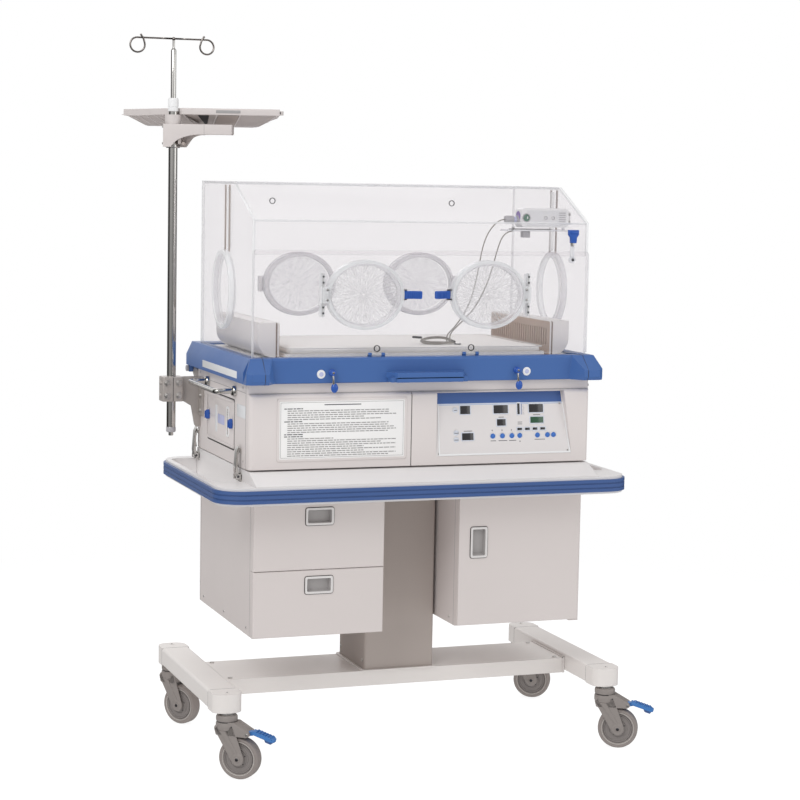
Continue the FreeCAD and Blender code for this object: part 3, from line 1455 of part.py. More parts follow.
def build():
    nodes = {
        "base_frame": base_frame(),
        "column": column(),
        "stand_head": stand_head(),
        "rail_bumper": rail_bumper(),
        "drawer_cabinet": drawer_cabinet(),
        "drawer_upper": drawer("upper"),
        "drawer_lower": drawer("lower"),
        "door_cabinet": door_cabinet(),
        "cabinet_door": cabinet_door(),
        "housing_shell": housing_shell(),
        "instruction_cover": instruction_cover(),
        "control_cover": control_cover(),
        "control_panel": control_panel(),
        "humidifier_drawer": humidifier_drawer(),
        "humidifier_knob_front": tank_knob(tank_knob_y[0]),
        "humidifier_knob_rear": tank_knob(tank_knob_y[1]),
        "side_fittings": side_fittings(),
        "chamber_deck": chamber_deck(),
        "blower_motor": blower_motor(),
        "blower_fan": blower_fan(),
        "mattress_tray": mattress_tray(),
        "mattress": mattress(),
        "air_ducts": air_ducts(),
        "hood_rim": hood_rim(),
        "hood_hinges": hood_hinges(),
        "hood_shell": hood_shell(),
        "hood_port_frames": hood_port_frames(),
        "front_door": front_door(),
        "front_port_frames": front_port_frames(),
        "door_lock": door_lock(),
        "sensor_module": sensor_module(),
        "pole_tube": pole_tube(),
        "pole_bracket": pole_bracket(),
        "pole_shelf": pole_shelf(),
        "shelf_arm": shelf_arm(),
        "hook_rod": hook_rod(),
        "sensor_lead": sensor_lead(),
        "lead_coil": lead_coil(),
    }
    for name in caster_headings:
        has_brake = name.startswith("front")
        nodes["caster_fork_" + name] = at_caster([fork(has_brake)], name)
        nodes["caster_wheel_" + name] = at_caster(wheel(), name)
        if has_brake:
            nodes["brake_pedal_" + name] = at_caster([brake_pedal()], name)
    for end, y in zip(("front", "rear"), toggle_y):
        for side_name, side in (("left", -1), ("right", 1)):
            nodes["toggle_lever_%s_%s" % (end, side_name)] = toggle_lever(y, side)
    for side_name, outward in (("left", -1), ("right", 1)):
        nodes["port_door_front_" + side_name] = port_door(outward * port_x, outward, door_face)
        nodes["port_latch_" + side_name] = port_latch(outward * port_x, outward)
        rear = port_door(outward * rear_port_x, outward, -hood_back)
        nodes["port_door_rear_" + side_name] = [s.mirror(V(0, 0, 0), Y_AXIS) for s in rear]
        nodes["hood_lever_" + side_name] = hood_lever(outward)
    return nodes


def footprint_centre(nodes):
    """Middle of the whole object's footprint, as drawn about the column."""
    extent = FreeCAD.BoundBox()
    for solids in nodes.values():
        for solid in solids:
            extent.add(solid.optimalBoundingBox(False))
    return V((extent.XMin + extent.XMax) / 2, (extent.YMin + extent.YMax) / 2, 0)


def main():
    nodes = build()
    shift = footprint_centre(nodes) * -1
    os.makedirs("parts", exist_ok=True)
    for name, solids in nodes.items():
        shape = solids[0] if len(solids) == 1 else Part.makeCompound(solids)
        moved = shape.copy()
        moved.translate(shift)
        moved.exportStep(os.path.join("parts", name + ".step"))
    print(len(nodes), "nodes written, shifted by", tuple(round(c, 3) for c in shift))


if __name__ == "__main__":
    main()
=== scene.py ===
import bpy
import bmesh
import json
import math
import numpy as np
from mathutils import Matrix, Vector

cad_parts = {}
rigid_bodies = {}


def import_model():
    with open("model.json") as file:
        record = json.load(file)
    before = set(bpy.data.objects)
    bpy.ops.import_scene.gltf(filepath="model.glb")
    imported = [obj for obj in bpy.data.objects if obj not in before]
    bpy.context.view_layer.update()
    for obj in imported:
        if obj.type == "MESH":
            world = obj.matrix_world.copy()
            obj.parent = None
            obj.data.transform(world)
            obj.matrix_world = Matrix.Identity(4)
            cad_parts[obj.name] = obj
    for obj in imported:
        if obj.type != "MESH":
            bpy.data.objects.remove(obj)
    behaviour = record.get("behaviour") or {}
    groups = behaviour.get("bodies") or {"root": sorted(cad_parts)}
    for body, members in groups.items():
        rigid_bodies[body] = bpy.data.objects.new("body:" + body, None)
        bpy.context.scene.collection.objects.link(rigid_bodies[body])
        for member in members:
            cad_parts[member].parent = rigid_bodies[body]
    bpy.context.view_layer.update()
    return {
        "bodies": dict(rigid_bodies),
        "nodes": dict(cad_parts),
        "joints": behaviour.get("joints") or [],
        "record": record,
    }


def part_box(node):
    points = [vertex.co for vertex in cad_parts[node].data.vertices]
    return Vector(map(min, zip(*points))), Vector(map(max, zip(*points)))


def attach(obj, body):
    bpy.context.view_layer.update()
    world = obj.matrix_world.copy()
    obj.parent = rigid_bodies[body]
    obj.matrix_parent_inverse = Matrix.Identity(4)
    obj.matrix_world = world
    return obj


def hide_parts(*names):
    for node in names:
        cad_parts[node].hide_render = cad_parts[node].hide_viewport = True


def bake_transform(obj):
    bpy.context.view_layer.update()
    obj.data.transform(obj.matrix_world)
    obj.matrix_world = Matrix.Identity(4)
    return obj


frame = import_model()
columnLow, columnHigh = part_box("column")
columnFoot = np.array([(columnLow.x + columnHigh.x) / 2, (columnLow.y + columnHigh.y) / 2, 0.0])
print("frame loaded")


class Sizes(dict):   # dictionary of a piece's settings, read as attributes
    __getattr__ = dict.__getitem__


# Places are given in millimetres about the foot of the stand's column, as in the part's source
def spot(points):
    return np.asarray(points, float) / 1000 + columnFoot


def roundAngles(count):
    return np.linspace(0, 2 * math.pi, count, endpoint=False)


# ---- camera, light and floor

studio = Sizes(place=(-1799.3, -4990.0, 1413.8), yaw=20.102, pitch=-5.983, roll=1.071, lens=95.3, floorRadius=30.0,
        floorColor=(0.26, 0.26, 0.26, 1), floorGlow=0.86, fadeFrom=0.9, fadeTo=2.6, exposure=0.0, skyStrength=0.50,
        lamps=[("keyLamp", (-3400, -3000, 4200), 2.6, 80), ("fillLamp", (3200, -3000, 2200), 2.4, 22), ("backLamp",
        (600, 3200, 3400), 2.4, 30)], aim=(0, 0, 800))


def cameraTurn(yaw, pitch, roll):
    yaw, pitch, roll = (math.radians(a) for a in (yaw, pitch, roll))
    ahead = Vector((math.sin(yaw) * math.cos(pitch), math.cos(yaw) * math.cos(pitch), math.sin(pitch)))
    level = Vector((math.cos(yaw), -math.sin(yaw), 0))
    upright = level.cross(ahead)
    right = level * math.cos(roll) + upright * math.sin(roll)
    top = upright * math.cos(roll) - level * math.sin(roll)
    return Matrix((right, top, -ahead)).transposed()


def makeStudio(s):
    scene = bpy.context.scene
    camera = bpy.data.objects.new("camera", bpy.data.cameras.new("camera"))
    scene.collection.objects.link(camera)
    camera.data.sensor_width = 36
    camera.data.lens = s.lens
    camera.data.clip_end = 200
    camera.matrix_world = Matrix.Translation(spot(s.place)) @ cameraTurn(s.yaw, s.pitch, s.roll).to_4x4()
    scene.camera = camera
    for name, place, size, power in s.lamps:
        lamp = bpy.data.objects.new(name, bpy.data.lights.new(name, "AREA"))
        lamp.data.size = size
        lamp.data.energy = power
        scene.collection.objects.link(lamp)
        lamp.location = spot(place)
        lamp.rotation_euler = Vector(spot(s.aim) - spot(place)).to_track_quat("-Z", "Y").to_euler()
    scene.view_settings.view_transform = "Standard"
    scene.view_settings.exposure = s.exposure
    scene.cycles.transparent_max_bounces = 40
    angles = roundAngles(96)
    rim = np.stack([np.cos(angles), np.sin(angles), 0 * angles], 1) * s.floorRadius
    mesh = bpy.data.meshes.new("floor")
    mesh.from_pydata(rim.tolist(), [], [list(range(96))])
    floor = bpy.data.objects.new("floor", mesh)
    scene.collection.objects.link(floor)
    floor.visible_glossy = False
    paint = Paint("floorPaint")
    way = paint.node("SeparateXYZ", inputs={0: paint.node("TexCoord").outputs["Object"]}).outputs
    along, across = paint.value(way["X"]), paint.value(way["Y"])
    far = paint.node("MapRange", {"interpolation_type": "SMOOTHSTEP"},
            {"Value": (along * along + across * across) ** 0.5, "From Min": s.fadeFrom, "From Max": s.fadeTo})
    diffuse = paint.node("BsdfDiffuse", inputs={"Color": s.floorColor})
    glow = paint.node("Emission", inputs={"Color": (1, 1, 1, 1), "Strength": s.floorGlow})
    near = paint.node("AddShader", inputs={0: diffuse.outputs[0], 1: glow.outputs[0]})
    white = paint.node("Emission", inputs={"Color": (1, 1, 1, 1), "Strength": 1.0})
    paint.finish(paint.node("MixShader", inputs={0: far.outputs[0], 1: near.outputs[0], 2: white.outputs[0]}))
    mesh.materials.append(paint.material)
    makeSky(scene, s.skyStrength)


# White to the camera, lit mostly from above, and bright panels with dark ones between in what shines
def makeSky(scene, strength):
    world = bpy.data.worlds.new("studioSky")
    scene.world = world
    world.use_nodes = True
    sky = Paint("studioSky", world.node_tree)
    parts = sky.node("SeparateXYZ", inputs={0: sky.node("TexCoord").outputs["Generated"]}).outputs
    swing = sky.node("Math", {"operation": "ARCTAN2"}, {0: parts["X"], 1: parts["Y"]}).outputs[0]
    bands = sky.node("ValToRGB", {"stops": [(0.0, (0.55,) * 3), (0.10, (0.95,) * 3), (0.20, (0.9,) * 3), (0.27, (0.06,
            ) * 3), (0.36, (0.04,) * 3), (0.43, (0.95,) * 3), (0.55, (0.9,) * 3), (0.60, (0.10,) * 3), (0.68, (0.12,
            ) * 3), (0.76, (0.85,) * 3), (1.0, (0.55,) * 3)]}, {0: Value(sky, swing) / (2 * math.pi) + 0.5})
    layers = sky.node("ValToRGB", {"stops": [(0.0, (0.16,) * 3), (0.40, (0.22,) * 3), (0.49, (0.42,) * 3), (0.56,
            (0.95,) * 3), (0.74, (1.0,) * 3), (0.86, (0.62,) * 3), (1.0, (0.85,) * 3)]}, {0: Value(sky,
            parts["Z"]) * 0.5 + 0.5})
    mirrored = sky.mix(1.0, bands.outputs[0], layers.outputs[0], "MULTIPLY")
    fall = sky.node("ValToRGB", {"stops": [(0.0, (0.42,) * 3), (0.45, (0.50,) * 3), (0.62, (0.90,) * 3), (1.0, (2.2,
            ) * 3)]}, {0: Value(sky, parts["Z"]) * 0.5 + 0.5})
    rays = sky.node("LightPath").outputs
    glossy = sky.node("Background", inputs={"Color": mirrored, "Strength": 1.0})
    plain = sky.node("Background", inputs={"Color": fall.outputs[0], "Strength": strength})
    white = sky.node("Background", inputs={"Color": (1, 1, 1, 1), "Strength": 1.0})
    seen = sky.node("MixShader", inputs={0: rays["Is Glossy Ray"], 1: plain.outputs[0], 2: glossy.outputs[0]})
    out = sky.node("MixShader", inputs={0: rays["Is Camera Ray"], 1: seen.outputs[0], 2: white.outputs[0]})
    sky.finish(out)


# ---- shader arithmetic

class Value:  # one socket; arithmetic on it adds Math nodes
    def __init__(self, paint, socket):
        self.paint = paint
        self.socket = socket

    def math(self, operation, first, second):
        return Value(self.paint, self.paint.node("Math", {"operation": operation}, {0: first, 1: second}).outputs[0])

    def __add__(self, other):
        return self.math("ADD", self, other)

    __radd__ = __add__

    def __sub__(self, other):
        return self.math("SUBTRACT", self, other)

    def __mul__(self, other):
        return self.math("MULTIPLY", self, other)

    __rmul__ = __mul__

    def __truediv__(self, other):
        return self.math("DIVIDE", self, other)

    def __pow__(self, other):
        return self.math("POWER", self, other)


finishes = {}


class Paint:  # one node tree; a finished material is entered in finishes under its name
    def __init__(self, name, tree=None):
        if tree is None:
            self.material = bpy.data.materials.new(name)
            self.material.use_nodes = True
            tree = self.material.node_tree
        self.tree = tree
        self.tree.nodes.clear()
        self.name = name
        self.isWorld = "Sky" in name

    def node(self, kind, settings=None, inputs=None):
        made = self.tree.nodes.new("ShaderNode" + kind)
        for key, setting in (settings or {}).items():
            if key == "stops":
                stops = made.color_ramp.elements
                while len(stops) < len(setting):
                    stops.new(0.5)
                for stop, (place, color) in zip(stops, setting):
                    stop.position = place
                    stop.color = (*color, 1)
            else:
                setattr(made, key, setting)
        for key, value in (inputs or {}).items():
            if isinstance(value, Value):
                value = value.socket
            if isinstance(value, bpy.types.NodeSocket):
                self.tree.links.new(value, made.inputs[key])
            else:
                made.inputs[key].default_value = value
        return made

    def value(self, socket):
        return Value(self, socket)

    def mix(self, share, first, second, blend="MIX"):
        made = self.node("Mix", {"data_type": "RGBA", "blend_type": blend}, {0: share, 6: first, 7: second})
        return made.outputs[2]

    def place(self, scale=(1, 1, 1), kind="Object"):
        where = self.node("TexCoord").outputs[kind]
        return self.node("Mapping", inputs={"Vector": where, "Scale": scale}).outputs[0]

    def noise(self, scale, detail=2, stretch=(1, 1, 1), kind="Object"):
        made = self.node("TexNoise", inputs={"Vector": self.place(stretch, kind), "Scale": scale, "Detail": detail})
        return self.value(made.outputs[0])

    def bump(self, height, depth, under=None):
        inputs = {"Height": height, "Strength": 1.0, "Distance": depth}
        if under is not None:
            inputs["Normal"] = under
        return self.node("Bump", inputs=inputs).outputs[0]

    def finish(self, shader):
        kind = "OutputWorld" if self.isWorld else "OutputMaterial"
        self.node(kind, inputs={"Surface": shader.outputs[0]})
        if not self.isWorld:
            finishes[self.name] = self.material
            return self.material


def shade(color, factor):
    return (min(1, color[0] * factor), min(1, color[1] * factor), min(1, color[2] * factor), 1)


# Moulded or painted surface: slow drift of tone, fine grain, softened edges, faint smears in its gloss
def moulded(name, color, rough=0.42, drift=0.025, driftScale=5, grain=700, grainDepth=0.00004, smear=0.08,
        edge=0.0012, coat=0.0, metal=0.0, shine=0.5):
    paint = Paint(name)
    tone = paint.mix(paint.noise(driftScale, 3), shade(color, 1 - drift), shade(color, 1 + drift))
    gloss = paint.noise(30, 4) * smear + (rough - smear / 2)
    normal = paint.node("Bevel", {"samples": 4}, {"Radius": edge}).outputs[0] if edge else None
    normal = paint.bump(paint.noise(grain, 2), grainDepth, normal)
    return paint.finish(paint.node("BsdfPrincipled", inputs={"Base Color": tone, "Roughness": gloss, "Normal": normal,
            "Metallic": metal, "Coat Weight": coat, "Coat Roughness": 0.12, "Specular IOR Level": shine}))


# Polished or brushed metal; brush stretches the scratches along an axis
def polished(name, color, rough=0.12, brush=(1, 1, 1), depth=0.000004, edge=0.0006):
    paint = Paint(name)
    scratch = paint.noise(2200, 3, brush)
    haze = paint.noise(18, 3)
    normal = paint.node("Bevel", {"samples": 4}, {"Radius": edge}).outputs[0]
    return paint.finish(paint.node("BsdfPrincipled", inputs={"Base Color": paint.mix(haze, shade(color, 0.93),
            shade(color, 1.05)), "Metallic": 1.0, "Roughness": scratch * 0.10 + haze * 0.05 + (rough - 0.07),
            "Normal": paint.bump(scratch, depth, normal)}))


# Clear sheet: mostly lets through, shines more at a slant; body is how milky it is
def clearSheet(name, body=0.05, slant=0.35, tint=(0.965, 0.958, 0.962), color=(0.93, 0.935, 0.95), rough=0.06,
        wave=0.0):
    paint = Paint(name)
    facing = paint.value(paint.node("LayerWeight", inputs={"Blend": 0.25}).outputs["Facing"])
    film = paint.node("BsdfTransparent", inputs={"Color": (*tint, 1)})
    inputs = {"Base Color": (*color, 1), "Roughness": paint.noise(12, 3) * 0.06 + rough, "Specular IOR Level": 0.6}
    if wave:
        inputs["Normal"] = paint.bump(paint.noise(9, 2), wave)
    skin = paint.node("BsdfPrincipled", inputs=inputs)
    share = (facing ** 3) * slant + paint.noise(7, 3) * (body * 0.5) + body * 0.75
    return paint.finish(paint.node("MixShader", inputs={0: share, 1: film.outputs[0], 2: skin.outputs[0]}))


finishes.update({"stand_paint": moulded("standPaint", (0.76, 0.72, 0.695), rough=0.38, edge=0.002),
        "cabinet_paint": moulded("cabinetPaint", (0.66, 0.605, 0.588), rough=0.40, edge=0.0015),
        "housing_plastic": moulded("housingPlastic", (0.735, 0.68, 0.665), rough=0.40, edge=0.002),
        "rail_blue": moulded("bumperBlue", (0.052, 0.11, 0.295), rough=0.36, drift=0.05, edge=0.001,
        grainDepth=0.00002), "rim_blue": moulded("rimBlue", (0.056, 0.14, 0.385), rough=0.34, drift=0.03, edge=0.0018,
        grainDepth=0.00002), "latch_blue": moulded("latchBlue", (0.028, 0.10, 0.42), rough=0.25, drift=0.05,
        edge=0.0008, grainDepth=0.00001), "clear_acrylic": clearSheet("clearAcrylic"),
        "panel_film": moulded("panelFilm", (0.74, 0.705, 0.70), rough=0.3, edge=0),
        "caster_grey": moulded("casterGrey", (0.27, 0.24, 0.225), rough=0.45, edge=0.0012),
        "tyre_grey": moulded("tyreGrey", (0.27, 0.235, 0.22), rough=0.55, edge=0.0006, grain=400),
        "chrome": polished("chrome", (0.66, 0.645, 0.62), rough=0.12), "steel": polished("levers", (0.66, 0.64, 0.62),
        rough=0.28, brush=(1, 1, 0.05), depth=0.00001), "pole_alloy": moulded("poleAlloy", (0.48, 0.44, 0.415),
        rough=0.42, metal=0.35, edge=0.0012), "bed_plastic": moulded("bedPlastic", (0.84, 0.82, 0.80), rough=0.42),
        "mattress_cover": moulded("mattressCover", (0.88, 0.865, 0.84), rough=0.7, grain=1500, grainDepth=0.00008,
        edge=0.004), "duct_plastic": moulded("ductPlastic", (0.62, 0.585, 0.565), rough=0.45),
        "motor_metal": polished("motorMetal", (0.5, 0.5, 0.5), rough=0.35), "fan_plastic": moulded("fanPlastic",
        (0.05, 0.05, 0.05), rough=0.45), "lead_grey": moulded("leadGrey", (0.30, 0.28, 0.25), rough=0.5, edge=0),
        # Painted shade: darker copy of the stand paint for the column, standing for the shade it stands in under the
        # cabinets
        "columnPaintedShade": moulded("columnPaintedShade", (0.42, 0.365, 0.335), rough=0.45, edge=0.0015),
        # Painted light: lighter copy of the stand paint for the stand head, standing for its brightly lit ledge top
        "ledgePaintedLight": moulded("ledgePaintedLight", (0.80, 0.775, 0.77), rough=0.36, edge=0.002),
        "module_plastic": moulded("modulePlastic", (0.86, 0.86, 0.87), rough=0.25),})

makeStudio(studio)
for part in frame["record"]["subparts"]:
    node = frame["nodes"][part["node"]]
    node.data.materials.clear()
    node.data.materials.append(finishes[part["material_slot"]])
# The column gets its darker copy of the stand paint as painted shade
# The stand head gets its lighter copy of the stand paint as painted light
for node, finish in (("column", "columnPaintedShade"), ("stand_head", "ledgePaintedLight")):
    frame["nodes"][node].data.materials.clear()
    frame["nodes"][node].data.materials.append(finishes[finish])
print("studio and finishes made")


# ---- shapes: surfaces worked out on grids, and outlines given a thickness

def gridFaces(rows, columns, closeRows=False, closeColumns=False):
    i = np.arange(rows if closeRows else rows - 1)[:, None]
    j = np.arange(columns if closeColumns else columns - 1)[None, :]
    k, n = (i + 1) % rows, (j + 1) % columns
    return np.stack([i * columns + j, i * columns + n, k * columns + n, k * columns + j], -1).reshape(-1, 4)


# A shape is (points, faces); several are joined by lining their numbers up
def joined(shapes):
    points, faces, count = [], [], 0
    for somePoints, someFaces in shapes:
        points.append(np.asarray(somePoints, float))
        faces += [[count + int(v) for v in face] for face in someFaces]
        count += len(somePoints)
    return np.concatenate(points), faces


# Rings of one grid closed into a solid by a fan of one face at each end
def capped(grid, columns):
    rows = len(grid) // columns
    faces = gridFaces(rows, columns, False, True).tolist()
    return grid, faces + [list(range(columns)), list(range((rows - 1) * columns, rows * columns))]


# Outline carried straight along an axis from low to high
def prism(outline, axis, low, high):
    a, b = np.asarray(outline, float).T
    rings = []
    for level in (low, high):
        c = np.full_like(a, level)
        rings.append(np.stack({"x": (c, a, b), "y": (a, c, b), "z": (a, b, c)}[axis], 1))
    return capped(np.concatenate(rings), len(a))


# Both ends of a measure may come in either order here, so that a mirrored shape needs no sorting
def block(x0, x1, y0, y1, z0, z1):
    return prism([(x0, y0), (x1, y0), (x1, y1), (x0, y1)], "z", z0, z1)


# Ring of (radius, height) pairs turned round an axis through a centre
def lathe(profile, centre, axis, sides=48):
    radius, height = np.asarray(profile, float).T
    angle = roundAngles(sides)
    u, v = radius[:, None] * np.cos(angle), radius[:, None] * np.sin(angle)
    h = height[:, None] + 0 * u
    grid = np.stack({"x": (h, u, v), "y": (u, h, v), "z": (u, v, h)}[axis], -1).reshape(-1, 3)
    closed = abs(radius[0] - radius[-1]) < 1e-9 and abs(height[0] - height[-1]) < 1e-9
    grid = grid + np.asarray(centre, float)
    if closed:
        grid = grid[:-sides]
        return grid, gridFaces(len(radius) - 1, sides, True, True).tolist()
    return capped(grid, sides)


# Tube along a path: the cross-section is carried from point to point by the least turn
def tube(path, radius, sides=12):
    path = np.asarray(path, float)
    ahead = np.gradient(path, axis=0)
    ahead /= np.linalg.norm(ahead, axis=1)[:, None]
    side = np.cross(ahead[0], (0.3, 0.5, 0.81))
    sideways = []
    for way in ahead:
        side = side - way * (side @ way)
        side = side / np.linalg.norm(side)
        sideways.append(side)
    sideways = np.array(sideways)
    upward = np.cross(sideways, ahead)
    angle = roundAngles(sides)
    r = np.broadcast_to(radius, len(path))[:, None, None]
    ring = sideways[:, None] * np.cos(angle)[None, :, None] + upward[:, None] * np.sin(angle)[None, :, None]
    return capped((path[:, None] + r * ring).reshape(-1, 3), sides)


def bend(points, per=8):   # smooth line through a few points: quadratic B-spline with its ends held
    p = np.asarray(points, float)
    middle = (p[:-1] + p[1:]) / 2
    line = [p[0]]
    for k in range(1, len(p) - 1):
        start = p[0] if k == 1 else middle[k - 1]
        end = p[-1] if k == len(p) - 2 else middle[k]
        t = np.linspace(0, 1, per + 1)[1:, None]
        line += list((1 - t) ** 2 * start + 2 * t * (1 - t) * p[k] + t ** 2 * end)
    return np.array(line)


def oval(x, z, a, b, count=72, power=2.0):   # |u/a|^power + |v/b|^power = 1
    angle = roundAngles(count)
    c, s = np.cos(angle), np.sin(angle)
    return np.stack([x + a * np.sign(c) * np.abs(c) ** (2 / power), z + b * np.sign(s) * np.abs(s) ** (2 / power)], 1)


def roundRect(x0, x1, z0, z1, r, per=5):
    x0, x1 = sorted((x0, x1))
    corners = [(x1 - r, z1 - r, 0), (x0 + r, z1 - r, 90), (x0 + r, z0 + r, 180), (x1 - r, z0 + r, 270)]
    points = []
    for cx, cz, start in corners:
        for a in np.radians(np.linspace(start, start + 90, per)):
            points.append((cx + r * math.cos(a), cz + r * math.sin(a)))
    return points


# Outlines with holes given a thickness and rounded rims, lying across an axis from low to high
def cutPlate(outlines, axis, low, high, edge=0.5, steps=1):
    low, high = sorted((low, high))
    curve = bpy.data.curves.new("plan", "CURVE")
    curve.dimensions = "2D"
    curve.fill_mode = "BOTH"
    for outline in outlines:
        outline = np.asarray(outline, float)
        spline = curve.splines.new("POLY")
        spline.points.add(len(outline) - 1)
        flat = np.concatenate([outline, np.zeros((len(outline), 1)), np.ones((len(outline), 1))], 1)
        spline.points.foreach_set("co", flat.ravel())
        spline.use_cyclic_u = True
    curve.extrude = (high - low) / 2 - edge
    curve.bevel_depth = edge
    curve.offset = -edge
    curve.bevel_resolution = steps
    holder = bpy.data.objects.new("plan", curve)
    mesh = bpy.data.meshes.new_from_object(holder)
    co = np.zeros(len(mesh.vertices) * 3)
    mesh.vertices.foreach_get("co", co)
    a, b, c = co.reshape(-1, 3).T
    c = c + (low + high) / 2
    points = np.stack({"x": (c, a, b), "y": (a, c, b), "z": (a, b, c)}[axis], 1)
    faces = [list(p.vertices) for p in mesh.polygons]
    bpy.data.objects.remove(holder)
    bpy.data.meshes.remove(mesh)
    bpy.data.curves.remove(curve)
    return points, faces


def slab(x0, x1, z0, z1, r, axis, low, high, edge=0.5, steps=1):   # rounded rectangle given a thickness
    return cutPlate([roundRect(x0, x1, z0, z1, r)], axis, low, high, edge, steps)


def turnedShape(shape, centre, axis, degrees):
    points, faces = shape
    turn = np.array(Matrix.Rotation(math.radians(degrees), 3, Vector(axis)))
    return (np.asarray(points) - centre) @ turn.T + centre, faces


def mirroredShape(shape):
    points, faces = shape
    return np.asarray(points) * (-1, 1, 1), faces


# Puts shapes with their finishes into one mesh, turns its faces outwards and hands it to its body
def makePiece(name, body, parts, stands=(), bevel=0.0, sharp=40, segments=2, closed=True):
    parts = list(parts)
    shapes = [shape for shape, _ in parts]
    kinds = list(dict.fromkeys(finish for _, finish in parts))
    points, faces = joined(shapes)
    mesh = bpy.data.meshes.new(name)
    mesh.from_pydata(spot(points).tolist(), [], faces)
    for kind in kinds:
        mesh.materials.append(finishes[kind])
    counts = [len(f) for _, f in shapes]
    index = np.repeat([kinds.index(finish) for _, finish in parts], counts)
    mesh.polygons.foreach_set("material_index", index.astype(np.int32))
    work = bmesh.new()
    work.from_mesh(mesh)
    bmesh.ops.remove_doubles(work, verts=work.verts, dist=2e-6)
    if closed:
        bmesh.ops.recalc_face_normals(work, faces=work.faces)
    work.to_mesh(mesh)
    work.free()
    mesh.polygons.foreach_set("use_smooth", [True] * len(mesh.polygons))
    mesh.set_sharp_from_angle(angle=math.radians(sharp))
    made = bpy.data.objects.new(name, mesh)
    bpy.context.scene.collection.objects.link(made)
    if bevel:
        rounding = made.modifiers.new("rounding", "BEVEL")
        rounding.width = bevel / 1000
        rounding.segments = segments
        rounding.limit_method = "ANGLE"
        rounding.angle_limit = math.radians(30)
        rounding.harden_normals = True
    if body:
        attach(made, body)
    if stands:
        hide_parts(*stands)
    return made


clearSheet("cutEdge", body=0.55, slant=0.2, tint=(0.93, 0.93, 0.935), color=(0.88, 0.885, 0.895), rough=0.12)
clearSheet("thickClear", body=0.38, slant=0.85, tint=(0.955, 0.955, 0.96), color=(0.93, 0.935, 0.945), rough=0.10,
        wave=0.002)
clearSheet("clearArm", body=0.35, slant=0.7, color=(0.80, 0.82, 0.85), rough=0.12)
clearSheet("innerPane", body=0.10, slant=0.5, rough=0.08, wave=0.004)
moulded("blackRing", (0.02, 0.02, 0.022), rough=0.5, edge=0)
polished("darkMetal", (0.12, 0.12, 0.13), rough=0.3)
moulded("slotLip", (0.42, 0.36, 0.33), rough=0.4, edge=0.0006)
moulded("whitePlastic", (0.86, 0.86, 0.865), rough=0.3, edge=0.0008)
moulded("greyPlastic", (0.42, 0.41, 0.43), rough=0.4, edge=0.0006)
moulded("lavender", (0.50, 0.52, 0.74), rough=0.45, edge=0.0004)
moulded("paperWhite", (0.90, 0.89, 0.88), rough=0.6, drift=0.012, edge=0, grain=1800)
moulded("inkGrey", (0.30, 0.29, 0.29), rough=0.6, drift=0.25, driftScale=160, edge=0)
moulded("inkDark", (0.10, 0.10, 0.11), rough=0.6, drift=0.25, driftScale=160, edge=0)
polished("hookSteel", (0.33, 0.30, 0.28), rough=0.22)
moulded("displayDark", (0.018, 0.016, 0.018), rough=0.16, drift=0.2, edge=0, coat=0.4)
moulded("displayGreen", (0.020, 0.085, 0.040), rough=0.18, drift=0.2, edge=0, coat=0.4)
moulded("headerBlue", (0.05, 0.115, 0.33), rough=0.35, drift=0.04, edge=0)
moulded("headerLight", (0.40, 0.50, 0.72), rough=0.35, drift=0.04, edge=0)
moulded("keyBlue", (0.05, 0.17, 0.55), rough=0.35, drift=0.08, edge=0.0004)
moulded("keyClear", (0.66, 0.69, 0.76), rough=0.35, drift=0.05, edge=0.0004)
moulded("filmGrey", (0.76, 0.765, 0.78), rough=0.35, drift=0.02, edge=0)
moulded("gaugeBrown", (0.17, 0.075, 0.035), rough=0.15, drift=0.3, driftScale=60, edge=0)
moulded("warmPanel", (0.52, 0.40, 0.33), rough=0.45, drift=0.06, driftScale=14, edge=0.0008)
moulded("ductWhite", (0.80, 0.775, 0.765), rough=0.42, edge=0.002)
moulded("rubberBlack", (0.035, 0.034, 0.036), rough=0.6, edge=0.0006)
moulded("hubGrey", (0.235, 0.21, 0.20), rough=0.5, edge=0.0008)
moulded("ringLight", (0.52, 0.49, 0.46), rough=0.45, edge=0.0006)
moulded("gapDark", (0.05, 0.048, 0.05), rough=0.7, edge=0)
moulded("seamGrey", (0.36, 0.35, 0.35), rough=0.6, edge=0)
moulded("purple", (0.22, 0.12, 0.42), rough=0.4, edge=0)
moulded("portGreen", (0.02, 0.14, 0.075), rough=0.3, edge=0)


# Gathered film: folds run outwards from the middle of its port and are bumped to catch the light; its colour is
# painted darker in the hollows of the folds (painted shade)
def gatheredFilm(name, centre, body, tone):
    paint = Paint(name)
    way = paint.node("SeparateXYZ", inputs={0: paint.node("TexCoord").outputs["Object"]}).outputs
    across = paint.value(paint.node("Math", {"operation": "ABSOLUTE"},
            {0: paint.value(way["X"]) - float(columnFoot[0])}).outputs[0]) - centre
    upward = paint.value(way["Z"]) - 1.137
    radius = (across * across + upward * upward + 0.00001) ** 0.5
    turned = paint.node("CombineXYZ", inputs={0: across / radius * 9, 1: upward / radius * 9, 2: radius * 34})
    folds = paint.value(paint.node("TexNoise", inputs={"Vector": turned.outputs[0], "Scale": 1.6,
            "Detail": 5}).outputs[0])
    crumple = paint.noise(90, 4)
    height = folds * 1.0 + crumple * 0.25
    # Painted shade: base colour darker where the fold height is low, in the hollows of the folds
    skin = paint.node("BsdfPrincipled", inputs={"Base Color": paint.mix(folds, (*[tone * 0.82] * 3, 1), (*[tone] * 3,
            1)), "Roughness": 0.24, "Normal": paint.bump(height, 0.014), "Specular IOR Level": 0.8})
    film = paint.node("BsdfTransparent", inputs={"Color": (0.975, 0.975, 0.98, 1)})
    share = (folds * 1.5 + (-0.35)) ** 2 * body + crumple * 0.22 * body + 0.04
    return paint.finish(paint.node("MixShader", inputs={0: share, 1: film.outputs[0], 2: skin.outputs[0]}))


gatheredFilm("film", 0.158, 1.0, 1.0)
gatheredFilm("rearFilm", 0.165, 0.22, 1.0)
print("finishes made")

# ---- hood: clear panes, hand ports, lock and sensor module

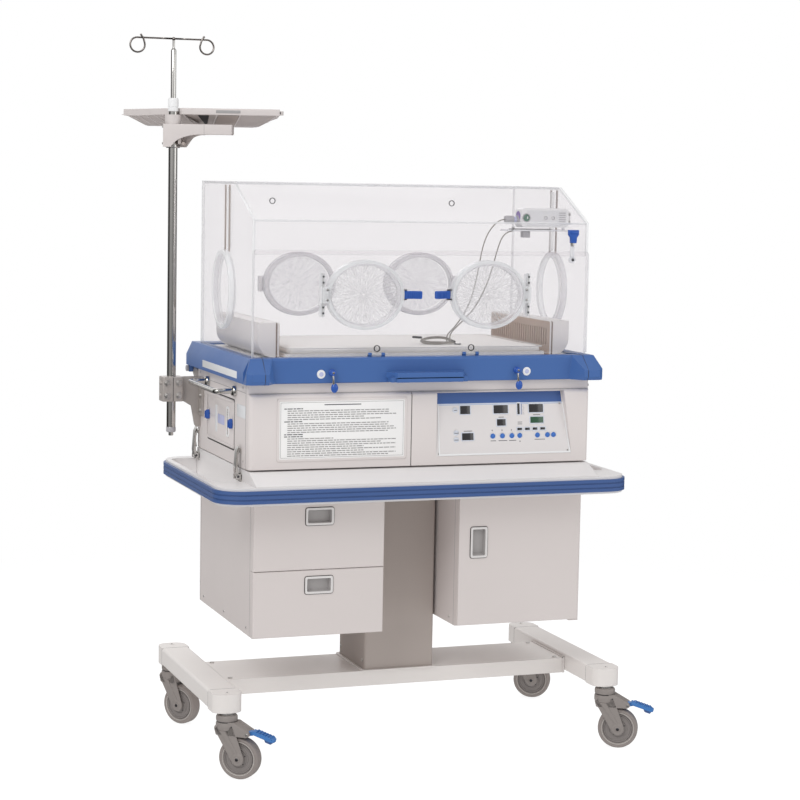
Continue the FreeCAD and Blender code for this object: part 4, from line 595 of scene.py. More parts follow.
hood = Sizes(half=430, front=-230, back=238, foot=988, top=1398, crease=-60, slantFoot=1312, wall=6, stripFoot=1230,
        slotY=-13, slotLow=1236, slotHigh=1385, slotWidth=12)
port = Sizes(a=96.5, b=82.5, z=1137, x=158, rearX=165, rim=12, frameDepth=18, doorDepth=7, lip=8)


# Splits a plate's faces: those across the axis are see-through, the others are its bright cut edges
def paneParts(shape, axis):
    points, faces = shape
    k = "xyz".index(axis)
    flat, edges = [], []
    for face in faces:
        corner = points[face]
        normal = np.cross(corner, np.roll(corner, -1, axis=0)).sum(0)
        (flat if abs(normal[k]) > 0.95 * np.linalg.norm(normal) else edges).append(face)
    return [((points, flat), "clear_acrylic"), ((points, edges), "cutEdge")]


def turnedParts(parts, centre, axis, degrees):
    return [(turnedShape(shape, centre, axis, degrees), finish) for shape, finish in parts]


def placed(parts, scale=(1, 1, 1), shift=(0, 0, 0)):
    return [((points * scale + shift, faces), finish) for (points, faces), finish in parts]


def ovalRing(x, z, a, b, section, count=96):   # section of (outwards, y) pairs carried round an oval
    angle = roundAngles(count)
    out, y = np.asarray(section, float).T
    grid = np.stack([x + (a + out[:, None]) * np.cos(angle), y[:, None] + 0 * angle, z + (b + out[:,
            None]) * np.sin(angle)], -1).reshape(-1, 3)
    return grid, gridFaces(len(out), count, True, True).tolist()


def ovalPane(x, z, a, b, y0, y1, crown=0.0, count=96, rings=7):   # oval sheet, its outer face crowned
    angle = roundAngles(count)
    share = np.linspace(0.04, 1, rings)[:, None]
    layers = []
    for y, lift in ((y0, crown), (y1, crown)):
        layers.append(np.stack([x + a * share * np.cos(angle), y - lift * (1 - share ** 2) + 0 * angle,
                z + b * share * np.sin(angle)], -1))
    grid = np.concatenate([layers[0], layers[1][::-1]]).reshape(-1, 3)
    return capped(grid, count)


def hoodShell(h):
    w, t = h.half, h.wall
    a, b = port.a - port.rim, port.b - port.rim
    end = [(h.front, h.foot), (h.back, h.foot), (h.back, h.top), (h.crease, h.top), (h.front, h.slantFoot)]
    slot = roundRect(h.slotY - h.slotWidth / 2, h.slotY + h.slotWidth / 2, h.slotLow, h.slotHigh, 5)
    for low, high in ((-w, -w + t), (w - t, w)):
        yield from paneParts(cutPlate([end, oval(0, port.z, b, a), slot], "x", low, high), "x")
    inner = w - t - 0.2
    rear = [(-inner, h.foot), (inner, h.foot), (inner, h.top - t), (-inner, h.top - t)]
    holes = [oval(s * port.rearX, port.z, a, b) for s in (-1, 1)]
    yield from paneParts(cutPlate([rear] + holes, "y", h.back - t, h.back), "y")
    roof = [(-inner, h.crease + 2), (inner, h.crease + 2), (inner, h.back), (-inner, h.back)]
    yield from paneParts(cutPlate([roof], "z", h.top - t, h.top), "z")
    strip = [(-inner, h.stripFoot), (inner, h.stripFoot), (inner, h.slantFoot - 1), (-inner, h.slantFoot - 1)]
    yield from paneParts(cutPlate([strip], "y", h.front, h.front + t), "y")
    rise, run = h.top - h.slantFoot, h.crease - h.front
    length = math.hypot(rise, run)
    slant = cutPlate([[(-inner, 1), (inner, 1), (inner, length - 1), (-inner, length - 1)]], "y", 0, t)
    slanted = turnedParts(paneParts(slant, "y"), np.zeros(3), (1, 0, 0), -math.degrees(math.atan2(run, rise)))
    yield from placed(slanted, shift=(0, h.front, h.slantFoot))


# Rings and small fittings on the shell: rear and end port frames, ring seals, lips of the tube slots
def hoodFittings(h):
    thick = "thickClear"
    for s in (-1, 1):
        section = roundRect(-port.rim, 0, h.back + 0.1, h.back + port.frameDepth, 3)
        yield ovalRing(s * port.rearX, port.z, port.a, port.b, section), thick
        section = roundRect(-port.rim, 0, h.half + 0.1, h.half + 14, 3)
        points, faces = ovalRing(0, port.z, port.b, port.a, section)
        yield (points[:, [1, 0, 2]] * (s, 1, 1), faces), thick
        points, faces = ovalPane(0, port.z, port.b - port.rim - 1, port.a - port.rim - 1, h.half + 10, h.half + 13)
        yield (points[:, [1, 0, 2]] * (s, 1, 1), faces), "clear_acrylic"
        for y in (h.slotY - 22, h.slotY + 14):
            yield block(s * (h.half + 0.2), s * (h.half + 2.2), y, y + 8, h.slotLow - 6, h.top - 8), "slotLip"
        for x, y, z in ((s * 246, h.back - h.wall - 3.1, 1350), (s * 121, h.front - 9.2, 1008)):
            profile = [(6.2, 0), (8, 0), (8, 3), (6.2, 3), (6.2, 0)]
            yield lathe(profile, (x, y, z), "y", 32), "blackRing"

makePiece("hoodPanes", "hood", hoodShell(hood), ["hood_shell"], sharp=30)
makePiece("hoodRings", "hood", hoodFittings(hood), ["hood_port_frames"])


# ---- front door: panel, port frames with film cuffs, hinges, latches and lock

door = Sizes(face=-236.3, back=-230.3, foot=993, top=1242, hingeX=121, hingeY=-233.3, hingeZ=993.6, knuckle=24,
        seat=9, barrel=4.6, hingeHalf=52, knuckleHalf=20, hingeOut=8, hingeRadius=5, frameFront=-254.3, latchReach=6,
        latchLength=41, latchHeight=19, latchThick=6, lean=18)


def rod(x0, x1, y, z, radius, axis="x", sides=24, edge=0.6):
    x0, x1 = sorted((x0, x1))
    e = min(edge, radius * 0.4)
    profile = [(radius - e, x0), (radius, x0 + e), (radius, x1 - e), (radius - e, x1)]
    centre = {"x": (0, y, z), "y": (y, 0, z), "z": (y, z, 0)}[axis]
    return lathe(profile, centre, axis, sides)


def doorPanel(d):
    w = hood.half
    half = d.knuckle / 2
    reach = half + d.seat + 0.6
    top = d.hingeZ + d.barrel + 0.6
    foot = [(-w, d.foot)]
    for middle in (-d.hingeX, d.hingeX):
        for a, b in ((-reach, -half), (half, reach)):
            foot += [(middle + a, d.foot), (middle + a, top), (middle + b, top), (middle + b, d.foot)]
    outline = foot + [(w, d.foot)] + [(w - 10 + 10 * math.cos(t),
            d.top - 10 + 10 * math.sin(t)) for t in np.linspace(0, math.pi / 2, 6)]
    outline += [(-w + 10 - 10 * math.sin(t), d.top - 10 + 10 * math.cos(t)) for t in np.linspace(0, math.pi / 2, 6)]
    a, b = port.a - port.rim, port.b - port.rim
    holes = [oval(s * port.x, port.z, a, b) for s in (-1, 1)]
    yield from paneParts(cutPlate([outline] + holes, "y", d.face, d.back, 0.4), "y")
    for middle in (-d.hingeX, d.hingeX):
        yield rod(middle - half, middle + half, d.hingeY, d.hingeZ, d.barrel), "thickClear"


# Oval frame of a hand port: stepped ring, a bright lip, and a second bright ring at its inner edge
def portFrame(x, face, front):
    cut = "cutEdge"
    a, b, rim = port.a, port.b, port.rim
    yield ovalRing(x, port.z, a, b, [(-rim, face), (0, face), (0, front + 3), (-2.5, front + 3), (-2.5, front),
            (-rim + 2, front), (-rim, front + 2)]), "thickClear"
    yield ovalRing(x, port.z, a, b, [(0.05, front + 2), (0.05, front + 4.5), (-1.2, front + 4.5), (-1.2,
            front + 2)]), cut
    yield ovalRing(x, port.z, a - rim, b - rim, [(0.05, front + 3), (-1.3, front + 3), (-1.3, front + 6), (0.05,
            front + 6)]), cut


def portHinge(x, outward, d):
    clear = "thickClear"
    hx = x + outward * (port.a + d.hingeOut)
    hy = d.frameFront + d.hingeRadius
    low, high = port.z - d.hingeHalf, port.z + d.hingeHalf
    yield slab(hx - 6, hx + 6, low, high, 3, "y", d.face - 3, d.face + 0.0), clear
    for z0, z1 in ((low, port.z - d.knuckleHalf - 0.3), (port.z + d.knuckleHalf + 0.3, high)):
        yield rod(z0, z1, hx, hy, d.hingeRadius, "z"), clear
        yield block(hx - 2, hx + 2, hy, d.face - 2.5, z0 + 1, z1 - 1), clear
        middle = (z0 + z1) / 2
        for z in (middle - 7, middle + 7):
            yield lathe([(0.2, -0.4), (2.3, 0), (2.6, 0.7), (2.6, 1.4)], (hx, hy - d.hingeRadius - 1, z), "y",
                    16), "darkMetal"
    yield rod(low + 0.5, high - 0.5, hx, hy, 2, "z", 12), "steel"


def latchEars(x, outward, d):
    px, py = x - outward * (port.a + d.latchReach), d.frameFront + 6
    for s in (-1, 1):
        z0, z1 = port.z + s * (d.latchHeight / 2 + 0.4), port.z + s * (d.latchHeight / 2 + 3.4)
        x0, x1 = px - outward * 4, x - outward * (port.a - 6)
        yield slab(x0, x1, py - 4, py + 6, 3, "z", z0, z1), "darkMetal"
    yield rod(port.z - 13, port.z + 13, px, py, 2, "z", 12), "steel"


# Gathered film: an oval sheet drawn towards its middle, with folds that run outwards and crumple on the way
def filmSheet(name, x, face, body, seed):
    random = np.random.default_rng(seed)
    a, b = port.a - port.rim - 0.4, port.b - port.rim - 0.4
    count, rings = 220, 44
    angle = roundAngles(count)[None, :]
    share = np.linspace(1, 0.035, rings)[:, None]
    lift = np.zeros((rings, count))
    for number in (7, 11, 17, 26, 41):
        phase, swirl = random.uniform(0, 6.3), random.uniform(-1.5, 1.5)
        lift += np.sin(number * angle + phase + swirl * (1 - share) * 3) * 5.0 / number ** 0.55
    crumple = np.zeros_like(lift)
    for number in range(26):
        kx, kz = random.normal(0, 0.16, 2)
        crumple += np.sin(kx * a * share * np.cos(angle) + kz * b * share * np.sin(angle) + random.uniform(0, 6.3))
    fade = np.clip((1 - share) * 9, 0, 1)
    hollow = 7 * np.sin(math.pi * share) ** 1.2
    y = face - 6 + hollow + fade * (lift * 0.42 + np.abs(crumple) * 0.42)
    y = np.clip(y, face - 12, face + 9)
    grid = np.stack([x + a * share * np.cos(angle), y, port.z + b * share * np.sin(angle)], -1).reshape(-1, 3)
    faces = gridFaces(rings, count, False, True).tolist()
    made = makePiece(name, body, [((grid, faces), "film")], sharp=180, closed=False)
    corner = spot(grid)[np.array(faces)]
    return made


def portDoor(x, outward, front, filmed=False):
    thick = "thickClear"
    a, b = port.a, port.b
    y0, y1 = front - 0.3, front - 0.3 - port.doorDepth
    rim = [(-port.lip, y0), (0, y0), (0, y1 + 1.5), (-1.5, y1), (-port.lip + 1, y1), (-port.lip, y1 + 1)]
    yield ovalRing(x, port.z, a, b, rim), thick
    yield ovalRing(x, port.z, a, b, [(0.08, y1 + 2), (0.08, y1 + 4), (-1.0, y1 + 4), (-1.0, y1 + 2)]), "cutEdge"
    yield ovalPane(x, port.z, a - port.lip + 0.2, b - port.lip + 0.2, y1 + 0.8, y1 + 3.4, 2.0), "innerPane"
    if filmed:
        yield ovalPane(x, port.z, a - 12.5, b - 12.5, y1 + 3.8, y1 + 4.4, 5.0), "rearFilm"
    hx = x + outward * (a + door.hingeOut)
    hy = front + door.hingeRadius
    half = door.knuckleHalf
    yield rod(port.z - half, port.z + half, hx, hy, door.hingeRadius, "z"), "whitePlastic"
    yield slab(hx + outward * 4, x + outward * (a - 6), port.z - half, port.z + half, 3, "y", y1, y0 - 0.4), thick
    yield block(hx - 4, hx + 4, y0 - 2, hy, port.z - half + 0.5, port.z + half - 0.5), thick
    for z in (-12, 12):
        yield lathe([(0.2, -1.0), (2.6, -0.8), (3.0, 0)], (hx - outward * 8, y1, port.z + z), "y", 16), "steel"


def portLatch(x, outward, d):
    px, py = x - outward * (port.a + d.latchReach), d.frameFront + 6
    blue = "latch_blue"
    z0, z1, t = port.z - d.latchHeight / 2, port.z + d.latchHeight / 2, d.latchThick
    plate = slab(px - 4, px + d.latchLength, z0, z1, 4, "y", py - t / 2, py + t / 2, 0.8, 2)
    parts = [(plate, blue)]
    for k in range(7):
        x0 = px + 8 + 4.4 * k
        parts.append((slab(x0, x0 + 2.4, z0 + 2, z1 - 2, 1, "y", py - t / 2 - 1.4, py - t / 2 + 0.5, 0.5), blue))
    parts.append((rod(z0 - 0.1, z1 + 0.1, px, py, 4.6, "z", 24), blue))
    parts = turnedParts(parts, np.array([px, py, 0.0]), (0, 0, 1), -d.lean)
    if outward > 0:
        parts = placed(parts, (-1, 1, 1), (2 * px, 0, 0))
    return parts


frameParts = []
for outward in (-1, 1):
    side = "left" if outward < 0 else "right"
    frameParts += portFrame(outward * port.x, door.face, door.frameFront)
    frameParts += portHinge(outward * port.x, outward, door)
    frameParts += latchEars(outward * port.x, outward, door)
    makePiece("portDoor_" + side, "port_door_front_" + side, portDoor(outward * port.x, outward, door.frameFront),
            ["port_door_front_" + side])
    makePiece("portLatch_" + side, "port_latch_" + side, portLatch(outward * port.x, outward, door),
            ["port_latch_" + side])
    rear = placed(portDoor(outward * port.rearX, outward, -hood.back - port.frameDepth, True), (1, -1, 1))
    makePiece("portDoorRear_" + side, "port_door_rear_" + side, rear, ["port_door_rear_" + side])
makePiece("doorPanel", "front_door", doorPanel(door), ["front_door"], sharp=30)
makePiece("portFrames", "front_door", frameParts, ["front_port_frames"])
for side, x, seed in (("left", -port.x, 5), ("right", port.x, 12)):
    filmSheet("film_" + side, x, door.face, "front_door", seed)
print("front door made")


# Lock in the door's upper right corner: blue tab on a clear arm, with its steel pin
lock = Sizes(x=382, z=1275, pivotZ=1222, width=26, thick=7)


def lockParts(s):
    blue, clear = "latch_blue", "clearArm"
    y1 = door.face - 0.3
    x, z, t = s.x, s.z, s.thick
    outline = [(-13, 20), (13, 20), (13, 8), (8, 2), (7, -12), (-7, -12), (-8, 2), (-13, 8)]
    tab = cutPlate([[(x + u, z + v) for u, v in outline]], "y", y1 - t - 7, y1 - 2, 1.5, 2)
    yield tab, blue
    yield slab(x - 10, x + 10, z + 11, z + 17, 2, "y", y1 - t - 9, y1 - t - 6, 1.0), blue
    yield slab(x - 5, x + 5, s.pivotZ - 6, z - 6, 3, "y", y1 - t, y1 - 0.5, 0.8), clear
    yield lathe([(0.3, y1 - t - 1.5), (6.5, y1 - t - 1.5), (8.5, y1 - t + 0.5), (8.5, y1)], (x, 0, s.pivotZ), "y",
            32), clear
    yield lathe([(0.2, y1 - t - 3), (3.2, y1 - t - 2.6), (3.6, y1 - t - 1.4)], (x, 0, s.pivotZ), "y", 24), "darkMetal"
    yield slab(x - 6, x + 1, z - 20, z - 9, 1.5, "y", y1 - t - 3, y1 - t + 1, 0.6), "steel"


makePiece("doorLock", "door_lock", lockParts(lock), ["door_lock"])


# Sensor module inside the hood's right end, with its plugs, green port, clear ledge and bracket
module = Sizes(x0=262, x1=415, y0=-142, y1=-98, z0=1298, z1=1345)


def moduleParts(m):
    white, grey, clear = "whitePlastic", "greyPlastic", "clearArm"
    x0, y0, z0, z1 = m.x0, m.y0, m.z0, m.z1
    middle = (z0 + z1) / 2
    yield slab(x0 + 26, m.x1, z0, z1, 7, "y", y0, m.y1, 2.0, 3), white
    yield rod(x0 - 10, x0 + 12, -120, middle - 5, 9, sides=32), grey
    for k in range(5):
        yield rod(x0 - 8 + 4 * k, x0 - 6 + 4 * k, -120, middle - 5, 9.8, sides=32), grey
    yield rod(x0 + 12, x0 + 20, -120, middle - 5, 7.5), "lavender"
    yield rod(x0 + 20, x0 + 27, -120, middle - 5, 10), grey
    yield rod(x0 + 24, x0 + 27.5, -120, middle + 4, 12), "purple"
    for x, r, kind in ((300, 9, "portGreen"), (352, 5, "greyPlastic"), (372, 5, "greyPlastic")):
        yield lathe([(r + 2, y0 + 1), (r + 2, y0 - 1.5), (r, y0 - 2), (r, y0 + 1), (r + 2, y0 + 1)], (x, 0, middle),
                "y", 32), white if kind != "portGreen" else grey
        yield lathe([(0.3, y0 - 0.4), (r, y0 - 0.8), (r, y0 + 1)], (x, 0, middle), "y", 32), kind
    yield slab(x0 + 40, m.x1 - 6, z0 + 4, z1 - 5, 3, "y", y0 - 0.6, y0 + 0.3, 0.2), "filmGrey"
    for k in range(6):
        z = z0 + 8 + 5.4 * k
        yield block(388, 406, y0 - 0.9, y0, z, z + 2.2), grey
    yield slab(250, 424, y0 + 2, m.y1 + 6, 4, "z", z0 - 10, z0 - 6, 0.8), clear
    for x in (272, 408):
        yield block(x, x + 5, -124, -116, z0 - 7, z0 + 1), clear
    for k, y in enumerate((-136, -131, -126)):
        yield tube(bend([(256 + 3 * k, y, z0 - 4.6), (290, y + 1.5, z0 - 4.4), (330, y - 1, z0 - 4.6), (372, y + 1,
                z0 - 4.4)]), 0.9, 8), "rubberBlack"
    yield slab(296, 316, z0 - 26, z0 - 10, 2, "y", -132, -116, 0.8), grey
    yield block(414.6, 424, -132, -108, z0 + 8, z1 - 8), white
    for z in (z0 + 14, z1 - 14):
        yield rod(410, 422, -136, z, 3, sides=12), "steel"


makePiece("sensorModule", "hood", moduleParts(module), ["sensor_module"], sharp=35)
print("hood made")


# ---- blue rim with its corner blocks, grip, badges and levers

# Smallest solid with flat faces round some points
def hull(points):
    work = bmesh.new()
    for point in points:
        work.verts.new(point)
    made = bmesh.ops.convex_hull(work, input=work.verts)
    spare = [g for g in made["geom_interior"] + made["geom_unused"] if isinstance(g, bmesh.types.BMVert)]
    bmesh.ops.delete(work, geom=list(set(spare)), context="VERTS")
    bmesh.ops.dissolve_limit(work, angle_limit=0.01, verts=work.verts, edges=work.edges)
    work.verts.index_update()
    shape = np.array([tuple(v.co) for v in work.verts]), [[v.index for v in face.verts] for face in work.faces]
    work.free()
    return shape


rim = Sizes(bottom=928.4, knee=956, top=988, half=455, topHalf=440, front=-250, back=285, openHalf=415,
        openFront=-215, openBack=225, blockInner=376, blockFront=-290, blockTop=-256, gripHalf=102, gripFront=-285,
        gripLow=930, gripHigh=953, badgeX=264, badgeZ=949.5)


def cornerBlock(r):
    b, k, t, f = r.bottom, r.knee, r.top, r.blockFront
    inner, chamfer = r.blockInner, r.blockInner + 26
    points = [(inner, -249, b), (r.half, -249, b), (r.half, f + 14, b), (r.half - 12, f + 6, b), (chamfer, f + 6, b),
            (chamfer, f, b + 8), (r.half - 12, f, b + 8), (r.half, f + 12, b + 6), (chamfer, f, k - 2), (r.half - 12,
            f, k - 2), (r.half, f + 12, k), (inner + 8, -249, t), (r.topHalf, -249, t), (r.topHalf, r.blockTop, t),
            (chamfer - 6, r.blockTop, t)]
    return hull(points)


def rimParts(r):
    blue = "rim_blue"
    b, k, t = r.bottom, r.knee, r.top
    front = [(r.front, b), (r.front, t - 5), (r.front + 4, t), (r.openFront, t), (r.openFront, b)]
    back = [(r.back, b), (r.back, t - 5), (r.back - 4, t), (r.openBack, t), (r.openBack, b)]
    side = [(r.openHalf, b), (r.half, b), (r.half, k), (r.topHalf, t), (r.openHalf, t)]
    sideBar = prism(side, "y", r.front, r.back)
    yield prism(front, "x", -r.openHalf, r.openHalf), blue
    yield prism(back, "x", -r.openHalf, r.openHalf), blue
    yield sideBar, blue
    yield mirroredShape(sideBar), blue
    for flip in (lambda shape: shape, mirroredShape):
        yield flip(cornerBlock(r)), blue
        lug = prism([(270, b), (270, k), (284, k), (299, 918), (294, 909), (283, 909)], "x", 437.6, 446.5)
        yield flip(lug), blue
    g = r.gripHalf
    face, low = r.gripFront, r.gripLow
    plan = [(-g, r.front + 1), (18 - g, face), (g - 18, face), (g, r.front + 1)]
    yield prism(plan, "z", low + 9, r.gripHigh), blue
    lip = [(16 - g, face + 4), (18 - g, face), (g - 18, face), (g - 16, face + 4)]
    yield prism(lip, "z", low, low + 12), blue
    for x in (4 - g, g - 22):
        yield block(x, x + 18, face + 6, r.front + 1, low, low + 12), blue
    for middle in (-door.hingeX, door.hingeX):
        for s in (-1, 1):
            x0, x1 = middle + s * 12.3, middle + s * 21.3
            yield rod(x0, x1, door.hingeY, door.hingeZ, door.barrel), blue
            yield block(x0, x1, door.face, door.back, t - 1, door.hingeZ), blue
        yield rod(middle - 21, middle + 21, door.hingeY, door.hingeZ, 2, sides=12), "steel"


# Seams, badges and the bare strip of the rim: thin pieces laid on its faces
def rimMarks(r):
    t, f = r.top, r.blockFront
    for s in (-1, 1):
        x = s * (r.blockInner + 34)
        seam = [(x - s * 6, r.openFront - 2, t), (x, r.blockTop, t), (x + s * 2, f, r.knee - 3), (x + s * 2, f,
                r.bottom + 9), (x + s * 2, f + 6, r.bottom)]
        yield tube(np.array(seam), 0.75, 8), "gapDark"
        face = r.front - 1.2
        disc = [(0.3, face - 0.6), (7.6, face - 0.5), (8.2, face + 0.3), (8.9, face - 0.4), (10.2, face), (10.5,
                face + 1), (10.5, r.front + 0.5)]
        yield lathe(disc, (s * r.badgeX, 0, r.badgeZ), "y", 48), "whitePlastic"
        yield lathe([(0.3, face - 1.0), (5.2, face - 0.9), (5.6, face - 0.4)], (s * r.badgeX, 0, r.badgeZ), "y",
                40), "lavender"
        yield slab(-196, 120, 937, 954, 2, "x", s * (r.half - 0.2), s * (r.half + 0.5), 0.15), "filmGrey"


makePiece("rim", "hood", rimParts(rim), ["hood_rim"], bevel=2.2, segments=3)
makePiece("rimMarks", "hood", rimMarks(rim), ())


# Turn lever: blue boss with a chrome cap, chrome rod and a blue drop-shaped knob
def turnLever(s):
    x, y0, z = s * 237, rim.front - 13, 953
    steel, blue = "chrome", "latch_blue"
    boss = [(0.3, y0 - 0.6), (5.2, y0 - 0.4), (6.6, y0 + 1), (7, y0 + 3), (7, y0 + 8), (8.4, y0 + 9), (8.4,
            y0 + 12.7)]
    yield lathe(boss, (x, 0, z), "y", 40), blue
    yield lathe([(0.2, y0 - 1.6), (2.6, y0 - 1.4), (3.2, y0 - 0.3)], (x, 0, z), "y", 24), steel
    yield tube(bend([(x, y0 + 4, z - 4), (x, y0 + 2, z - 18), (x + 1.5, y0 + 3, z - 27)]), 2.6, 16), steel
    angle = np.linspace(-math.pi / 2, math.pi / 2, 14)
    profile = np.stack([np.cos(angle) * 8.6 + 0.2, np.sin(angle) * 11.5], 1)
    points, faces = lathe(profile, (0, 0, 0), "z", 36)
    yield (points * (1, 0.72, 1) + (x + 4, y0 + 4, z - 36), faces), blue


for side, s in (("left", -1), ("right", 1)):
    makePiece("hoodLever_" + side, "hood_lever_" + side, turnLever(s), ["hood_lever_" + side], sharp=50)
print("rim made")


# ---- front covers: instruction sheet and control panel

cover = Sizes(front=-245, left=-437, seam=-32, right=437, low=724, high=903, round=10, sheet=(-369, -45, 743, 891),
        panelLow=745, panelHigh=900, panelLeft=33, panelRightLow=391, panelRightHigh=368, panelRecess=22)


# Ruled sheet in its raised frame: a heading, captions and lines of uneven length, all bare rules
def sheetParts(c):
    x0, x1, z0, z1 = c.sheet
    ink = "inkGrey"
    y = c.front
    frameOutline = roundRect(x0 - 1, x1 + 1, z0 - 1, z1 + 1, 7)
    inside = roundRect(x0 + 5, x1 - 5, z0 + 5, z1 - 5, 3)
    yield cutPlate([frameOutline, inside], "y", y - 1.6, y + 1.8, 0.7, 2), "housing_plastic"
    yield slab(x0 + 4, x1 - 4, z0 + 4, z1 - 4, 2, "y", y - 0.6, y + 1.2, 0.1), "paperWhite"
    border = [roundRect(x0 + 8, x1 - 8, z0 + 8, z1 - 8, 2), roundRect(x0 + 8.8, x1 - 8.8, z0 + 8.8, z1 - 8.8, 1.6)]
    yield cutPlate(border, "y", y - 0.72, y - 0.5, 0.02), ink
    random = np.random.default_rng(3)
    top, low = z1 - 14, z0 + 13
    middle = (x0 + x1) / 2
    yield block(middle - 46, middle + 46, y - 0.75, y - 0.5, top - 1.6, top + 0.6), "inkDark"
    rows = 23
    pitch = (top - 9 - low) / (rows - 1)
    for row in range(rows):
        z = top - 9 - pitch * row
        heading = row in (0, 6, 12, 13)
        left = x0 + (17 if heading else 25)
        reach = 46 if heading else (x1 - x0 - 52) * random.choice([1.0, 0.98, 0.93, 0.7, 0.42, 0.86])
        at = left
        while at < left + reach:
            word = random.uniform(5, 15)
            tall = pitch * (0.46 if heading else 0.42)
            yield block(at, min(at + word, left + reach), y - 0.75, y - 0.5, z - tall / 2,
                    z + tall / 2), "inkDark" if heading else ink
            at += word + random.uniform(1.4, 2.4)


makePiece("instructionSheet", "stand", sheetParts(cover), ())


def panelFace(z, c=cover):   # Y of the sloping panel's face at a height
    return c.front + c.panelRecess * (z - c.panelLow) / (c.panelHigh - c.panelLow)


def onPanel(shape):   # a shape drawn about Y = 0 laid on the sloping face
    points, faces = shape
    points = np.array(points, float)
    points[:, 1] += panelFace(points[:, 2])
    return points, faces


def panelWindow(x0, x1, z0, z1, glass, frame):
    ring = [roundRect(x0 - 2.4, x1 + 2.4, z0 - 2.4, z1 + 2.4, 2.5), roundRect(x0, x1, z0, z1, 1)]
    return [(onPanel(cutPlate(ring, "y", -0.9, 0.4, 0.25)), frame), (onPanel(slab(x0 - 0.5, x1 + 0.5, z0 - 0.5,
            z1 + 0.5, 1, "y", -0.45, 0.3, 0.1)), glass)]


def panelKey(x, z, finish, ring):
    cap = [(0.2, -1.7), (4.6, -1.5), (6.1, -0.9), (6.6, 0.3)]
    collar = [(6.7, 0.3), (6.7, -0.9), (7.4, -1.0), (7.8, -0.4), (7.8, 0.3), (6.7, 0.3)]
    y = panelFace(z)
    return [(lathe(cap, (x, y, z), "y", 36), finish), (lathe(collar, (x, y, z), "y", 36), ring)]


def panelParts(c):
    dark, clear = "displayDark", "keyClear"
    ink, rule = "inkGrey", "headerBlue"
    lo, hi = c.panelLow, c.panelHigh
    outline = [(c.panelLeft, lo), (c.panelRightLow, lo), (c.panelRightHigh, hi), (c.panelLeft, hi)]
    yield onPanel(prism(outline, "y", -0.05, 1.9)), "panel_film"
    reach = c.panelRightHigh + (c.panelRightLow - c.panelRightHigh) * 0.2
    yield onPanel(prism([(c.panelLeft + 1, 871), (reach - 3, 871), (c.panelRightHigh - 1, 897), (c.panelLeft + 1,
            897)], "y", -0.3, 0.2)), rule
    yield onPanel(prism([(c.panelLeft + 1, 867), (reach - 2, 867), (reach - 2.2, 871), (c.panelLeft + 1, 871)], "y",
            -0.34, 0.2)), "headerLight"
    for x0, x1, z0, z1 in ((99, 125, 845, 865), (102, 132, 782, 799), (187, 225, 845, 865), (195, 218, 815, 831),
            (250, 256.5, 842, 869), (281, 319, 846, 866)):
        yield from panelWindow(x0, x1, z0, z1, dark, clear)
    yield from panelWindow(284, 319, 820, 835, "displayGreen", clear)
    for x0 in (248.5, 269, 289.5, 310):
        yield from panelWindow(x0, x0 + 13, 803, 809, dark, clear)
    for x in (183, 208.5, 233.5, 254.5, 302, 329, 345):
        yield from panelKey(x, 790, "keyBlue", clear)
    for x, z in ((86, 854.5), (87, 799.5), (87, 783)):
        yield from panelKey(x, z, clear, "filmGrey")
    for x0, x1, z in ((98, 127, 869), (186, 226, 869.4), (280, 320, 869.6), (292, 311, 839), (200, 214, 835), (107,
            129, 803), (177, 191, 778), (198, 221, 778), (226, 245, 778), (294, 322, 779), (250, 262, 822), (250, 262,
            817.5), (83, 90, 854), (82, 93, 799), (82, 92, 782.5)):
        yield onPanel(block(x0, x1, -2 if x1 < 94 else -0.2, 0.1, z, z + 1.5)), "inkDark"
    for k in range(8):
        yield onPanel(block(264.5, 267 + (k % 4 == 0) * 2, -0.2, 0.1, 842 + 3.6 * k, 843 + 3.6 * k)), ink
    yield onPanel(block(261, 262.4, -0.2, 0.1, 841, 868)), rule
    for x, z in ((182, 804), (208, 804), (233, 804), (255, 776)):
        yield lathe([(0.2, -1.1), (1.4, -0.8), (1.9, 0.2)], (x, panelFace(z), z), "y", 16), ink
    edge = [(c.panelLeft + 7, lo + 0.6), (c.panelRightLow - 1, lo + 0.6), (reach + 1, 870), (c.panelLeft + 7, 870)]
    inside = [(c.panelLeft + 10.4, lo + 5), (c.panelRightLow - 5.4, lo + 5), (reach - 2.6, 868.6),
            (c.panelLeft + 10.4, 868.6)]
    yield onPanel(cutPlate([edge, inside], "y", -1.3, 0.4, 0.4)), "whitePlastic"
    for x, z in ((c.panelLeft + 7, lo + 6), (c.panelRightLow - 9, lo + 6), (c.panelLeft + 7, hi - 33),
            (c.panelRightHigh - 4, hi - 33)):
        yield lathe([(0.2, -0.7), (2.4, -0.6), (2.8, 0.2)], (x, panelFace(z), z), "y", 20), "steel"


makePiece("controlPanel", "stand", panelParts(cover), ["control_panel"])


# Seams on the housing: between the covers, under the top band, and round the side panel
def housingSeams(c):
    seam, y = "seamGrey", c.front
    yield block(c.left + 3, c.right - 3, y + 7, y + 11, c.high - 0.6, c.high + 0.9), seam
    yield block(c.seam - 0.9, c.seam + 0.9, y + 1, y + 4, c.low + 1, c.high - 8), "gapDark"
    for s in (-1, 1):
        x0, x1 = s * 436.6, s * 437.5
        yield block(x0, x1, y + 30, y + 31.2, 723, 927), seam
        yield block(x0, x1, y + 31, 236, 903, 904), seam
        for yy, zz in ((-188, 915), (210, 915), (-196, 740), (215, 740)):
            profile = [(0.2, s * 438.2), (2.6, s * 438.0), (3.1, s * 437.0)]
            yield lathe(profile, (0, yy, zz), "x", 20), "steel"


makePiece("housingSeams", "stand", housingSeams(cover), ())
print("front covers made")


# ---- left side: humidifier drawer with its gauge, bar handles and toggle clamps

